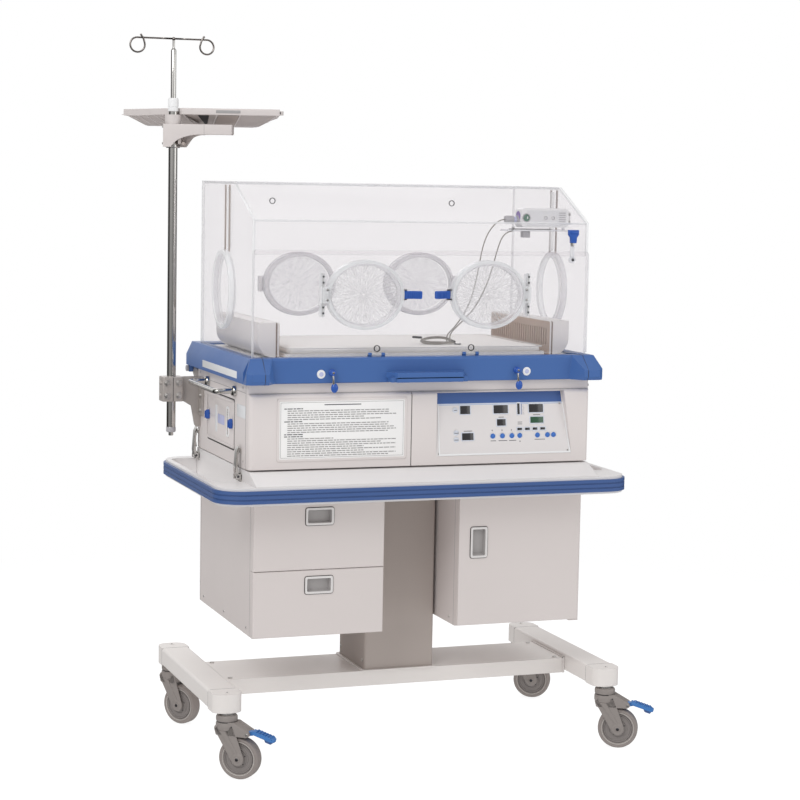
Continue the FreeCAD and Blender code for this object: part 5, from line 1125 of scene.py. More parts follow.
tank = Sizes(x=-437.5, y0=-115, y1=131, z0=758, z1=876, panel=5.5, knobs=(-96, 117), knobZ=818, gaugeY=-60,
        gauge=(787, 851), square=(-26, 34, 806, 829), card=(-213, -139, 842, 872))


def tankParts(s):
    white = "housing_plastic"
    x, y0, y1, z0, z1 = s.x, s.y0, s.y1, s.z0, s.z1
    holes = [oval(y, s.knobZ, 3.1, 3.1, 24) for y in s.knobs]
    gauge = roundRect(s.gaugeY - 5, s.gaugeY + 5, *s.gauge, 3)
    plate = cutPlate([roundRect(y0, y1, z0, z1, 5)] + holes, "x", x + 0.2, x + s.panel, 0.6)
    yield plate, white
    ring = [roundRect(y0 + 1, y1 - 1, z0 + 1, z1 - 1, 5), roundRect(y0 + 5, y1 - 1.9, z0 + 7, z1 - 7, 3)]
    yield cutPlate(ring, "x", x - 1.6, x + 1, 0.8, 2), white
    frame = [roundRect(s.gaugeY - 9, s.gaugeY + 9, s.gauge[0] - 5, s.gauge[1] + 5, 4), gauge]
    yield cutPlate(frame, "x", x - 2.2, x + 1, 0.8, 2), "whitePlastic"
    yield cutPlate([gauge], "x", x - 0.6, x + 0.8, 0.3), "gaugeBrown"
    for k in range(9):
        z = s.gauge[0] + 6 + 6.4 * k
        wide = 3.4 if k % 4 == 0 else 2.2
        yield block(x - 0.9, x - 0.5, s.gaugeY + 4.4 - wide, s.gaugeY + 4.4, z, z + 0.8), "paperWhite"
    a, b, c, d = s.square
    yield slab(a, b, c, d, 2, "x", x - 0.6, x + 0.6, 0.2), "lavender"
    yield slab(a + 66, b + 22, c - 24, d + 20, 3, "x", x - 0.5, x + 0.6, 0.2), "filmGrey"
    t0, t1, w = x + s.panel, -437 + 180, 4
    floor = 757.7
    for a in (block(t0, t1, y0 + 4, y1 - 4, floor, floor + w), block(t0, t1, y0 + 4, y0 + 4 + w, floor, floor + 92),
            block(t0, t1, y1 - 4 - w, y1 - 4, floor, floor + 92), block(t1 - w, t1, y0 + 4, y1 - 4, floor,
            floor + 92), block(t0, t0 + 2, y0 + 4, y1 - 4, floor, floor + 92)):
        yield a, "thickClear"


makePiece("humidifierDrawer", "humidifier_drawer", tankParts(tank), ["humidifier_drawer"],
        sharp=35)
cardParts = [(slab(*tank.card, 3, "x", -437.8, -436.8, 0.2), "filmGrey"), (cutPlate([roundRect(-118, 134, 755, 879,
        7), roundRect(-115.6, 131.6, 757.4, 876.6, 6)], "x", -437.4, -436, 0.1), "gapDark")]
makePiece("sideCard", "stand", cardParts, ())


def knobParts(y):
    x0 = tank.x - 0.3
    turns = []
    for share, out in ((1.0, 0), (1.0, 5.5), (0.93, 7.8), (0.75, 8.8), (0.35, 9.2), (0.05, 9.2)):
        ring = oval(y, tank.knobZ, 7 * share, 12 * share, 40)
        turns.append(np.stack([np.full(40, x0 - out), ring[:, 0], ring[:, 1]], 1))
    yield capped(np.concatenate(turns), 40), "latch_blue"
    yield rod(x0, x0 + 5, y, tank.knobZ, 3, sides=16), "steel"
    yield block(x0 - 11.5, x0 - 5, y - 1.6, y + 1.6, tank.knobZ - 9, tank.knobZ + 9), "latch_blue"


for name, y in zip(("front", "rear"), tank.knobs):
    makePiece("tankKnob_" + name, "humidifier_knob_" + name, knobParts(y), ["humidifier_knob_" + name],
            bevel=0.5, sharp=50)

fitting = Sizes(handleY=124.5, handleZ=900, radius=6.5, reach=50, toggleY=(-173, 222), pivotZ=702, pivotOut=9,
        length=72, width=18)


def handleParts(f, s):
    chrome = "chrome"
    x0, out = s * 437, s * (437 + f.reach)
    y, z = f.handleY, f.handleZ
    path = bend([(x0, -y, z), (x0 + s * 30, -y, z), (out, -y, z), (out, -y + 22, z), (out, 0, z), (out, y - 22, z),
            (out, y, z), (x0 + s * 30, y, z), (x0, y, z)], 10)
    yield tube(path, f.radius, 28), chrome
    for side in (-y, y):
        profile = [(6.6, s * 437), (13, s * 437), (13, s * 443), (11.5, s * 446), (9, s * 448.5), (6.6, s * 449),
                (6.6, s * 437)]
        yield lathe(profile, (0, side, z), "x", 40), chrome


def keeperParts(f, s, y):
    steel, dark = "chrome", "darkMetal"
    x0, px, z = s * 437, s * (437 + f.pivotOut), f.pivotZ
    yield slab(y - 13, y + 13, z - 13, z + 9, 3, "x", x0, s * 440, 0.5), steel
    for side in (-1, 1):
        y0, y1 = y + side * 10, y + side * 13
        a, b = px + s * 5, x0
        yield slab(a, b, z - 8, z + 6, 3, "y", y0, y1, 0.4), steel
    yield rod(y - 14.5, y + 14.5, px, z, 2, "y", 16), dark
    for side in (-1, 1):
        profile = [(0.3, y + side * 15.4), (3.0, y + side * 15), (3.4, y + side * 13)]
        yield lathe(profile, (px, 0, z), "y", 20), dark
    yield hull([(x0, y - 7, z + 54), (x0, y + 7, z + 54), (x0 + s * 3, y - 7, z + 56), (x0 + s * 3, y + 7, z + 56),
            (x0 + s * 3, y - 7, z + 64), (x0 + s * 3, y + 7, z + 64), (x0, y - 7, z + 66), (x0, y + 7,
            z + 66)]), steel


# Toggle lever: pressed channel with turned-in sides, bent at the top and pointed at its foot
def toggleParts(f, y):
    chrome = "chrome"
    px, z = 437 + f.pivotOut, f.pivotZ
    spine = [(px + 3.5, z - 5), (px + 6.6, z + 14), (px + 3.2, z + 62), (px - 1.2, z + 72)]
    inner = [(a - 1.6, b) for a, b in spine]
    half = f.width / 2
    yield prism(spine + inner[::-1], "y", y - half, y + half), chrome
    for side in (-1, 1):
        y0, y1 = y + side * half, y + side * (half - 1.6)
        cheek = [(px - 3, z - 5), (px + 3, z - 6), (px + 6, z + 14), (px + 2.6, z + 62), (px - 1, z + 56), (px + 0,
                z + 20)]
        yield prism(cheek, "y", y0, y1), chrome
    yield tube(bend([(px - 1, y - 5, z + 50), (px - 4, y - 5, z + 64), (px - 5, y, z + 68), (px - 4, y + 5, z + 64),
            (px - 1, y + 5, z + 50)]), 1.3, 10), "steel"
    yield tube([(px - 2, y - 6, z + 22), (px + 2, y - 6, z + 50)], 1.2, 8), "darkMetal"


fittingParts = []
for s in (-1, 1):
    fittingParts += handleParts(fitting, s)
    for y in fitting.toggleY:
        fittingParts += keeperParts(fitting, s, y)
makePiece("sideFittings", "stand", fittingParts, ["side_fittings"])
for end, y in zip(("front", "rear"), fitting.toggleY):
    for side, s in (("left", -1), ("right", 1)):
        name = "toggle_lever_%s_%s" % (end, side)
        makePiece("toggle_%s_%s" % (end, side), name, placed(toggleParts(fitting, y), (s, 1, 1)), [name],
                bevel=0.5)
print("side fittings made")


# ---- casters: fork, wheel and brake pedal, drawn with the stem at the origin and turned to their heading

caster = Sizes(legX=491, legY=270, wheel=50, half=15, hub=36, trail=35, cheek=(17, 21), boss=16, head=26, headLow=118,
        headHigh=156.7, reach=64, pinX=58, pinZ=111, slope=17, heading={"front_left": 38, "front_right": 28,
        "rear_left": 53, "rear_right": 30})


# Line drawn tight round some circles (x, z, radius)
def aroundCircles(circles, count=40):
    points = np.concatenate([oval(x, z, r, r, count) for x, z, r in circles])
    points = sorted(map(tuple, np.round(points, 4)))
    rims = []
    for run in (points, points[::-1]):
        rim = []
        for p in run:
            while len(rim) > 1 and ((rim[-1][0] - rim[-2][0]) * (p[1] - rim[-2][1]) - (rim[-1][1] - rim[-2][1])
                    * (p[0] - rim[-2][0])) <= 1e-9:
                rim.pop()
            rim.append(p)
        rims += rim[:-1]
    return rims


def atCaster(parts, name, c):
    place = (c.legX * (-1 if "left" in name else 1), c.legY * (-1 if "front" in name else 1), 0)
    parts = turnedParts(parts, np.zeros(3), (0, 0, 1), -c.heading[name])
    return placed(parts, shift=place)


def forkParts(c, brake):
    grey, dark, steel = "caster_grey", "gapDark", "steel"
    r, low, high = c.head, c.headLow, c.headHigh
    collars = [(8, -4), (r - 5, -4), (r - 1, 0), (r, 2), (r, 14), (r - 1.4, 16), (r - 3, 16.4), (r - 3, 18.4), (r - 1,
            19), (r - 0.4, 21), (r - 0.4, 29), (r - 2, 32), (r - 6, 33), (8, 33)]
    yield lathe(collars, (0, 0, low), "z", 64), grey
    yield lathe([(r - 3.2, low + 16.2), (r - 2.6, low + 16.4), (r - 2.6, low + 18.4), (r - 3.2, low + 18.6), (r - 3.2,
            low + 16.2)], (0, 0, 0), "z", 64), dark
    yield lathe([(8, low + 32), (r - 8, low + 32.6), (r - 7, low + 35), (r - 8, high), (8, high)], (0, 0, 0), "z",
            48), steel
    yield lathe([(0.5, high - 1), (8, high - 1), (8, 176), (7, 177.3), (0.5, 177.3)], (0, 0, 0), "z", 32), steel
    for s in (-1, 1):
        y0, y1 = s * c.cheek[0], s * c.cheek[1]
        outline = aroundCircles([(-15, low + 3, 9), (20, low + 2, 6), (c.trail, c.wheel, c.boss)])
        yield cutPlate([outline], "y", y0, y1, 1.4, 3), grey
        y = s * c.cheek[1]
        boss = [(0.3, 3.2), (5.4, 3), (6.4, 2.2), (7.2, 2.2), (7.6, 1.2), (13, 1.2), (14.6, 0.2), (14.6, -1)]
        boss = [(radius, y + s * out) for radius, out in boss]
        yield lathe(boss, (c.trail, 0, c.wheel), "y", 48), grey
        yield lathe([(0.3, y + s * 3.9), (3.6, y + s * 3.7), (4.6, y + s * 2.9)], (c.trail, 0, c.wheel), "y",
                6), "darkMetal"
        rib = [(-12, low - 2), (4, low - 2), (c.trail + 2, c.wheel + 12), (c.trail - 6, c.wheel + 12)]
        yield cutPlate([rib], "y", y - s * 0.4, y + s * 1.0, 0.5, 2), grey
    reach = c.reach if brake else c.head + 3
    crown = [(-24, low + 1), (-20, 105), (-15, 103.4), (reach - 7, 103.4), (reach - 1, 107), (reach, 110), (reach - 2,
            116), (r, low + 18), (-10, low + 18)]
    if brake:
        for y0, y1 in ((-21, -10), (10, 21)):
            yield cutPlate([crown], "y", y0, y1, 1.6, 3), grey
        core = [(-22, low + 1), (-18, 104), (reach - 18, 104), (reach - 18, low + 4), (r - 4, low + 16), (-10,
                low + 16)]
        yield prism(core, "y", -11, 11), grey
        yield hull([(reach - 20, -14, 117), (reach - 20, 14, 117), (reach - 5, -14, 116), (reach - 5, 14, 116),
                (r - 2, -14, low + 17.6), (r - 2, 14, low + 17.6), (reach - 16, -14, 115), (reach - 16, 14,
                115)]), grey
        yield rod(-21.6, 21.6, c.pinX, c.pinZ, 2.5, "y", 20), steel
        for s in (-1, 1):
            yield lathe([(0.2, s * 22.4), (2.6, s * 22.2), (3.4, s * 20.8)], (c.pinX, 0, c.pinZ), "y", 20), steel
            yield lathe([(0.2, s * 21.5), (1.8, s * 21.4), (2.2, s * 20.8)], (20, 0, low + 8), "y", 16), dark
    else:
        yield cutPlate([crown], "y", -21, 21, 1.6, 3), grey


def wheelParts(c):
    r, h, hub = c.wheel, c.half, c.hub
    tread = [(hub + 0.5, -h + 3), (hub + 5, -h + 1.2), (r - 5, -h + 0.2), (r - 2, -h + 1.4), (r - 0.3, -h + 4.5), (r,
            -h + 8), (r, h - 8), (r - 0.3, h - 4.5), (r - 2, h - 1.4), (r - 5, h - 0.2), (hub + 5, h - 1.2),
            (hub + 0.5, h - 3), (hub + 0.5, -h + 3)]
    yield lathe(tread, (0, 0, 0), "y", 96), "tyre_grey"
    for s in (-1, 1):
        lip = [(3.2, 2.4), (3.4, 0.9), (4.6, 0.5), (5.2, 1.6), (3.2, 2.4)]
        groove = [(-0.6, 5), (-0.4, 3), (0.8, 2.9), (0.8, 5), (-0.6, 5)]
        for section, finish in ((lip, "ringLight"), (groove, "gapDark")):
            yield lathe([(hub + out, s * (h - depth)) for out, depth in section], (0, 0, 0), "y", 96), finish
        disc = [(5.1, 0.2), (11, 0.2), (12.4, 1.2), (13, 3.4), (21, 4), (22, 3), (24.5, 2.8), (25.5, 4.2), (hub - 4,
                4.6), (hub - 2.4, 2.2), (hub - 0.6, 2), (hub - 0.2, 4), (hub - 0.2, h), (5.1, h), (5.1, 0.2)]
        yield lathe([(radius, s * (h - depth)) for radius, depth in disc], (0, 0, 0), "y", 80), "hubGrey"
        for k in range(5):
            a = 2 * math.pi * k / 5 + 0.4
            pin = [(0.3, s * (h - 3.5)), (1.4, s * (h - 3.5)), (2.2, s * (h - 4.4))]
            yield lathe(pin, (17.5 * math.cos(a), 0, 17.5 * math.sin(a)), "y", 14), "gapDark"


def pedalParts(c):
    blue = "pedalBlue"
    x0, z = c.reach, c.pinZ
    plan = [(x0 + 1, -11), (x0 + 8, -13), (x0 + 52, -12.5), (x0 + 58, -10), (x0 + 60, -5), (x0 + 60, 5), (x0 + 58,
            10), (x0 + 52, 12.5), (x0 + 8, 13), (x0 + 1, 11)]
    parts = [(cutPlate([plan], "z", z + 1, z + 9, 1.2, 3), blue)]
    for k in range(6):
        x = x0 + 12 + 7.4 * k
        tooth = [(x - 2.6, z + 8), (x - 1.0, z + 12.4), (x + 0.8, z + 12.4), (x + 2.2, z + 8)]
        parts.append((prism(tooth, "y", -11, 11), blue))
    for s in (-1, 1):
        parts.append((prism([(x0 + 6, z + 8), (x0 + 9, z + 10.6), (x0 + 52, z + 10.6), (x0 + 55, z + 8)], "y",
                s * 11.2, s * 13), blue))
    parts.append((hull([(x0 + 34, -10, z + 2), (x0 + 34, 10, z + 2), (x0 + 56, -10, z + 2), (x0 + 56, 10, z + 2),
            (x0 + 40, -9, z - 5), (x0 + 40, 9, z - 5), (x0 + 54, -9, z - 5), (x0 + 54, 9, z - 5)]), "rail_blue"))
    parts = turnedParts(parts, np.array([x0, 0.0, z]), (0, 1, 0), c.slope)
    root = aroundCircles([(c.pinX, z, 5.5), (x0 + 4, z + 1, 4.5)])
    parts.append((cutPlate([root], "y", -8.8, 8.8, 0.8, 2), blue))
    return parts


moulded("pedalBlue", (0.05, 0.19, 0.50), rough=0.32, drift=0.05, edge=0.0008, grainDepth=0.00001)
for name in caster.heading:
    brake = name.startswith("front")
    makePiece("casterFork_" + name, "caster_" + name, atCaster(forkParts(caster, brake), name, caster),
            ["caster_fork_" + name], sharp=38)
    wheel = placed(wheelParts(caster), shift=(caster.trail, 0, caster.wheel))
    makePiece("casterWheel_" + name, "wheel_" + name, atCaster(wheel, name, caster), ["caster_wheel_" + name],
            sharp=30)
    if brake:
        makePiece("brakePedal_" + name, "pedal_" + name, atCaster(pedalParts(caster), name, caster),
                ["brake_pedal_" + name], bevel=0.5)
print("casters made")


# ---- stand: end caps of the legs, marks on the beam, pull frames, screws under the rail

base = Sizes(legX=491, half=36, length=290, cap=60, low=157, high=202, beamY=100, beamLow=152.7, beamHigh=190.7)


def baseMarks(b):
    white = "stand_paint"
    for s in (-1, 1):
        x = s * b.legX
        for end in (-1, 1):
            y = end * (b.length - b.cap)
            ring = [roundRect(x - b.half - 0.35, x + b.half + 0.35, b.low - 0.35, b.high + 0.35, 6.5),
                    roundRect(x - b.half + 0.6, x + b.half - 0.6, b.low + 0.6, b.high - 0.6, 6)]
            yield cutPlate(ring, "y", y - 0.5, y + 0.5, 0.05), "seamGrey"
            top = [(0.3, b.high + 1.4), (4.4, b.high + 1.2), (5.6, b.high + 0.4), (6, b.high - 0.3)]
            yield lathe(top, (x, end * 270, 0), "z", 32), white
            yield lathe([(0.2, b.high + 1.9), (1.7, b.high + 1.8), (2.0, b.high + 1)], (x, end * 270, 0), "z",
                    20), "gapDark"
        inner = s * (b.legX - b.half)
        for y in (-b.beamY + 14, b.beamY - 14):
            head = [(0.3, b.beamHigh + 3), (5.2, b.beamHigh + 2.8), (6.2, b.beamHigh + 1.4), (6.2, b.beamHigh - 0.2)]
            yield lathe(head, (inner - s * 22, y, 0), "z", 6), "steel"
        x0, x1 = inner - s * 0.4, inner - s * 5
        yield block(x0, x1, -b.beamY - 3, b.beamY + 3, b.beamHigh - 1, b.beamHigh + 2.6), white
        yield block(x0, x1, -b.beamY - 3, -b.beamY + 1, b.beamLow, b.beamHigh + 2.6), white
    lip = [roundRect(-99, 99, -108, 108, 9), roundRect(-91.2, 91.2, -100.2, 100.2, 6)]
    yield cutPlate(lip, "z", b.beamHigh - 0.4, b.beamHigh + 3.2, 1.2, 2), white
    for x, y in ((-91.4, -84), (91.4, -84), (-91.4, 84), (91.4, 84)):
        s = 1 if x > 0 else -1
        for z in (215, 634):
            yield lathe([(0.3, x + s * 1.8), (3.4, x + s * 1.5), (4.2, x - s * 0.3)], (0, y, z), "x", 20), "steel"


makePiece("baseMarks", "stand", baseMarks(base), (), bevel=0.5)


# Frame and cup of a recessed pull
def pullParts(x, z, width, height):
    face, w, h = -247, width / 2, height / 2
    yield cutPlate([roundRect(x - w - 1.6, x + w + 1.6, z - h - 1.6, z + h + 1.6, 6.5), roundRect(x - w, x + w, z - h,
            z + h, 5)], "y", face - 0.35, face + 0.2, 0.1), "gapDark"
    ring = [roundRect(x - w, x + w, z - h, z + h, 6), roundRect(x - w + 5.4, x + w - 5.4, z - h + 5.4, z + h - 5.4,
            3)]
    yield cutPlate(ring, "y", face - 3.2, face + 0.6, 1.3, 3), "pullLight"
    a, b, depth = w - 5, h - 5, face + 11.6
    corners = [(x - a, z - b), (x + a, z - b), (x + a, z + b), (x - a, z + b)]
    mouth = [(px, face + 0.2, pz) for px, pz in corners]
    floor = [(x + (px - x) * 0.90, depth, z + (pz - z) * 0.84) for px, pz in corners]
    faces = [[k, (k + 1) % 4, 4 + (k + 1) % 4, 4 + k] for k in range(4)] + [[4, 5, 6, 7]]
    outer = [(px, y + 0.35, pz) for px, y, pz in mouth + floor]
    flipped = [[v + 8 for v in f][::-1] for f in faces]
    rims = [[k, (k + 1) % 4, 8 + (k + 1) % 4, 8 + k] for k in range(4)]
    yield (np.array(mouth + floor + outer), faces + flipped + rims), "pullCup"


moulded("pullLight", (0.70, 0.68, 0.67), rough=0.32, edge=0.0005)
moulded("pullCup", (0.42, 0.40, 0.395), rough=0.5, edge=0)
makePiece("pull_upper", "drawer_upper", pullParts(-261, 610, 70, 42), ())
makePiece("pull_lower", "drawer_lower", pullParts(-261, 444.4, 70, 42), ())
makePiece("pull_door", "cabinet_door", pullParts(149, 530, 44, 76), ())


# Lines where the cabinet sheets meet, screws of the runners and the door's pivots
def cabinetMarks():
    seam, steel = "seamGrey", "steel"
    for x in (-424, -97, 97, 424):
        s = -1 if x in (-424, 97) else 1
        x0, x1 = x - s * 0.2, x + s * 0.35
        yield block(x0, x1, -219, -218, 322, 649), seam
        yield block(x0, x1, 236, 237, 322, 649), seam
        for y in (-190, 10, 205):
            for z in (338, 632):
                yield lathe([(0.3, x + s * 1.5), (2.8, x + s * 1.3), (3.6, x - s * 0.2)], (0, y, z), "x", 18), steel
    for x0, x1 in ((-420, -101), (101, 420)):
        yield cutPlate([roundRect(x0, x1, 326, 645, 4), roundRect(x0 + 1.1, x1 - 1.1, 327.1, 643.9, 3)], "y", 245.6,
                246.4, 0.1), seam
        for x in (x0 + 14, x1 - 14):
            for z in (342, 630):
                yield lathe([(0.3, 247.5), (2.8, 247.3), (3.6, 245.8)], (x, 0, z), "y", 18), steel
    yield block(-436, 436, -243.2, -241.6, 646.4, 650.2), "stand_paint"


makePiece("cabinetMarks", "stand", cabinetMarks(), ())
print("stand details made")


# ---- drip pole: tube, clamp, ribbed shelf on its arm, and the hooks

pole = Sizes(x=-515, y=200, radius=11.3, low=766, collarLow=1571, collarHigh=1601, clampLow=844, clampHigh=906,
        clampX=27, clampY=22, turn=-23.5, width=426, depth=280, chamfer=182, taper=40, notchX=-24.04, notchY=9.9,
        setback=10, bottom=1561, rim=16, under=24, armLow=1480, armLength=150, rodLow=1300, rodHigh=1722, hookZ=1747,
        span=84, wire=2.3, loop=18)


def poleTube(p):
    centre = (p.x, p.y, 0)
    r, low, top = p.radius, p.low, p.collarLow
    tube = [(0.5, low - 10), (5, low - 10), (6, low - 8.6), (6, low), (r - 2, low + 0.4), (r, low + 2), (r,
            top + 0.2)]
    yield lathe(tube + [(0.5, top + 0.2)], centre, "z", 64), "chrome"
    cap = [(0.5, low - 1), (r - 1, low - 1), (r + 0.8, low + 1), (r + 0.8, low + 11), (r + 0.1, low + 12), (0.5,
            low + 12)]
    yield lathe(cap, centre, "z", 48), "greyPlastic"
    collar = [(7, p.collarHigh), (11.4, p.collarHigh), (12.8, p.collarHigh - 2), (13.1, p.collarHigh - 6), (13.1,
            top + 9), (12.3, top + 8), (12.3, top + 6.6), (13.1, top + 5.6), (13.1, top - 2), (r, top - 3), (7,
            top - 3), (7, p.collarHigh)]
    yield lathe(collar, centre, "z", 64), "whitePlastic"


makePiece("poleTube", "stand", poleTube(pole), ["pole_tube"], sharp=35)


def clampParts(p):
    alloy, steel = "pole_alloy", "steel"
    x, y, low, high = p.x, p.y, p.clampLow, p.clampHigh
    outline = roundRect(x - p.clampX, x + p.clampX, y - p.clampY, y + p.clampY, 6)
    bore = oval(x, y, p.radius + 0.05, p.radius + 0.05, 48)
    yield cutPlate([outline, bore], "z", low, high, 1.6, 3), alloy
    yield block(x - 0.8, x + 0.8, y - p.clampY - 0.25, y - p.radius, low + 1.5, high - 1.5), "gapDark"
    for z in (low + 15, high - 15):
        for s in (-1, 1):
            bolt = x + s * 15
            head = [(0.3, y - p.clampY - 5.6), (5.2, y - p.clampY - 5.4), (6.2, y - p.clampY - 4.4), (6.2,
                    y - p.clampY - 0.4)]
            yield lathe(head, (bolt, 0, z), "y", 6), steel
            washer = [(6, y - p.clampY - 1.2), (8, y - p.clampY - 1.1), (8.2, y - p.clampY + 0.3)]
            yield lathe([(0.3, y - p.clampY - 1.2)] + washer, (bolt, 0, z), "y", 28), steel
        nub = [(0.3, x - p.clampX - 5), (4, x - p.clampX - 4.6), (5, x - p.clampX - 3), (5, x - p.clampX + 0.5)]
        yield lathe(nub, (0, y - 6, z), "x", 24), alloy
    web = [(x + p.clampX - 1, high - 1), (-437.2, high - 1), (-437.2, 776), (-449, 776), (-453, 782), (-462, 830),
            (x + p.clampX - 1, low + 2)]
    yield cutPlate([web], "y", y + 4, y + 10, 1.2, 2), alloy
    yield slab(y - 30, y + 5, 806, high - 1, 4, "x", -443, -437.1, 1.0, 2), alloy
    for z in (820, 858, 892):
        yield lathe([(0.3, -447), (4.4, -446.8), (5.4, -445.6), (5.4, -442.6)], (0, y - 18, z), "x", 6), steel


makePiece("poleClamp", "stand", clampParts(pole), ["pole_bracket"], sharp=35)


# The shelf is drawn about its chamfered corner and the arm about the pole
def atPole(parts, p, x=0, y=0):
    moved = turnedParts(placed(parts, shift=(-x, -y, 0)), np.zeros(3), (0, 0, 1), p.turn)
    return placed(moved, shift=(p.x, p.y, 0))


# Plan of the shelf: four corners, and a chamfer notched round the pole
def shelfPlan(p, inset, notch):
    c, w, d = p.chamfer, p.width - p.chamfer, p.depth
    k = inset * (math.sqrt(2) - 1)
    corners = [(-c + inset, c + k), None, (k, inset), (w - inset, inset), (w - inset - p.taper, d - inset),
            (-c + inset, d - inset)]
    plan = []
    for corner in corners:
        if corner is None:
            away = p.setback + inset
            start = math.atan2(away, math.sqrt(max(notch ** 2 - away ** 2, 1)))
            for a in np.linspace(start, math.pi - start, 22):
                u, v = -math.cos(a) * notch, math.sin(a) * notch
                plan.append((p.notchX + (u + v) * math.sqrt(0.5), p.notchY + (v - u) * math.sqrt(0.5)))
        else:
            plan.append(corner)
    return plan


# Height of the hollow underside at a place: it falls in from every edge of the plan to a flat bottom
def underside(p, x, y):
    w, d, c = p.width - p.chamfer, p.depth, p.chamfer
    edge = min(y, d - y, x + c, (x + y) * math.sqrt(0.5), w - x - p.taper * y / d)
    return p.bottom - p.under * min(1, max(0, (edge - 7) / 47))


# Upright rib under the tray along a straight line, its foot a little proud of the underside
def underRib(p, first, last, thick=1.3, proud=1.0):
    first, last = np.array(first, float), np.array(last, float)
    way = (last - first) / np.linalg.norm(last - first)
    side = np.array([-way[1], way[0]]) * thick
    rings = []
    for share in np.linspace(0, 1, 25):
        x, y = first + (last - first) * share
        foot = underside(p, x, y) - proud
        a, b = (x + side[0], y + side[1]), (x - side[0], y - side[1])
        rings.append([(*a, p.bottom + 0.5), (*b, p.bottom + 0.5), (*b, foot), (*a, foot)])
    return capped(np.array(rings).reshape(-1, 3), 4)


def trayParts(p):
    white, dark = "shelfWhite", "gapDark"
    z0, z1, d = p.bottom, p.bottom + p.rim, p.depth
    w, c = p.width - p.chamfer, p.chamfer
    yield cutPlate([shelfPlan(p, 0, 16.5), shelfPlan(p, 4.5, 21)], "z", z0, z1, 1.1, 3), white
    yield cutPlate([shelfPlan(p, 2, 18.5)], "z", z0 + 0.4, z0 + 3.4, 0.2), white
    upper = [(x, y, z0 + 0.5) for x, y in shelfPlan(p, 7, 24)]
    lower = [(x, y, z0 - p.under) for x, y in shelfPlan(p, 54, 71)]
    yield capped(np.array(upper + lower), len(upper)), "shelfShade"
    for k in range(5):
        at = 34 + 26 * k
        yield underRib(p, (-at - 2, at + 10), (-at + 66, at + 78)), white
    for x0, x1 in ((3, 25), (86, 66), (144, 122), (236, 186)):
        yield underRib(p, (x0, 7), (x1, 60), 1.6, 1.6), white
    for y in np.linspace(96, d - 60, 4):
        yield underRib(p, (-c + 12, y), (w - 34, y)), white
    for x in np.linspace(-c + 60, w - 60, 8):
        yield underRib(p, (x, max(90, 80 - x)), (x, d - 10)), white
    for patch, finish in (([(90, 9), (141, 9), (124, 50), (73, 50)], "slotLip"), ([(38, 9), (66, 9), (56, 48), (50,
            48)], dark)):
        rings = [[(x, y, underside(p, x, y) - drop) for x, y in patch] for drop in (0.3, 1.1)]
        yield capped(np.array(rings).reshape(-1, 3), 4), finish
    yield block(w - 9, w + 6, 6, 26, z0 + 2, z0 + 12), white
    yield lathe([(0.3, 3.4), (2.6, 3.6), (3.0, 5.4)], (w - 1, 0, z0 + 7), "y", 20), dark
    yield slab(85, 146, z0 + 4.5, z0 + 11.5, 1.2, "y", -0.5, 0.6, 0.2), "seamGrey"


moulded("shelfWhite", (0.66, 0.61, 0.595), rough=0.38, edge=0.0012)
moulded("shelfShade", (0.46, 0.41, 0.39), rough=0.5, edge=0)
makePiece("poleShelf", "shelf", atPole(trayParts(pole), pole, pole.notchX, pole.notchY), ["pole_shelf"],
        bevel=0.6, sharp=38)


# Two webs with a concave lower edge, the front one cut higher, and the blocks that close round the pole
def armParts(p):
    white, steel = "shelfWhite", "steel"
    top, low, far = p.bottom - p.under, p.armLow, p.armLength
    for y0, y1, knee, finish in ((-20, -14.5, 0, white), (14.5, 20, 34, "shelfShade")):
        curve = bend([(knee - 3, low), (knee + 8, low + 16), (knee / 2 + 34, low + 27), (knee / 3 + 66, low + 33),
                (far - 2, top - 25)], 7)
        line = [(-22, low)] + [tuple(point) for point in curve] + [(far, top - 23), (far, top), (-22, top)]
        yield cutPlate([line], "y", y0, y1, 1.0, 3), finish
    yield block(0, far - 1.5, -15, 15, top - 9, top), white
    yield block(far - 6, far - 1, -15, 15, top - 22, top - 2), white
    yield block(-21.6, -15, -15, 15, low + 1, top), white
    yield block(15, 22, -15, 15, low + 8, top), "shelfShade"
    yield block(80.5, 81.3, -20.3, -19.7, top - 28, top - 1), "seamGrey"
    for z in (low + 9, top - 7):
        yield rod(-26.5, -21, -6, z, 3.2, "x", 6), steel
    socket = [(p.radius + 1.5, top - 1), (19, top - 1), (20, top + 8), (20, top + 23), (p.radius + 2, top + 23),
            (p.radius + 1.5, top - 1)]
    yield lathe(socket, (0, 0, 0), "z", 48), white
    yield lathe([(0.3, -14.9), (3.4, -15.1), (4.2, -14.3), (4.2, 14.6)], (28, 0, low + 9), "y", 20), "slotLip"
    yield lathe([(12.7, low - 2.2), (16.5, low - 2), (17.5, low - 0.6), (17.5, low + 0.6), (12.7, low + 0.6), (12.7,
            low - 2.2)], (0, 0, 0), "z", 48), steel


makePiece("shelfArm", "shelf", atPole(armParts(pole), pole), ["shelf_arm"], bevel=0.4, sharp=38)


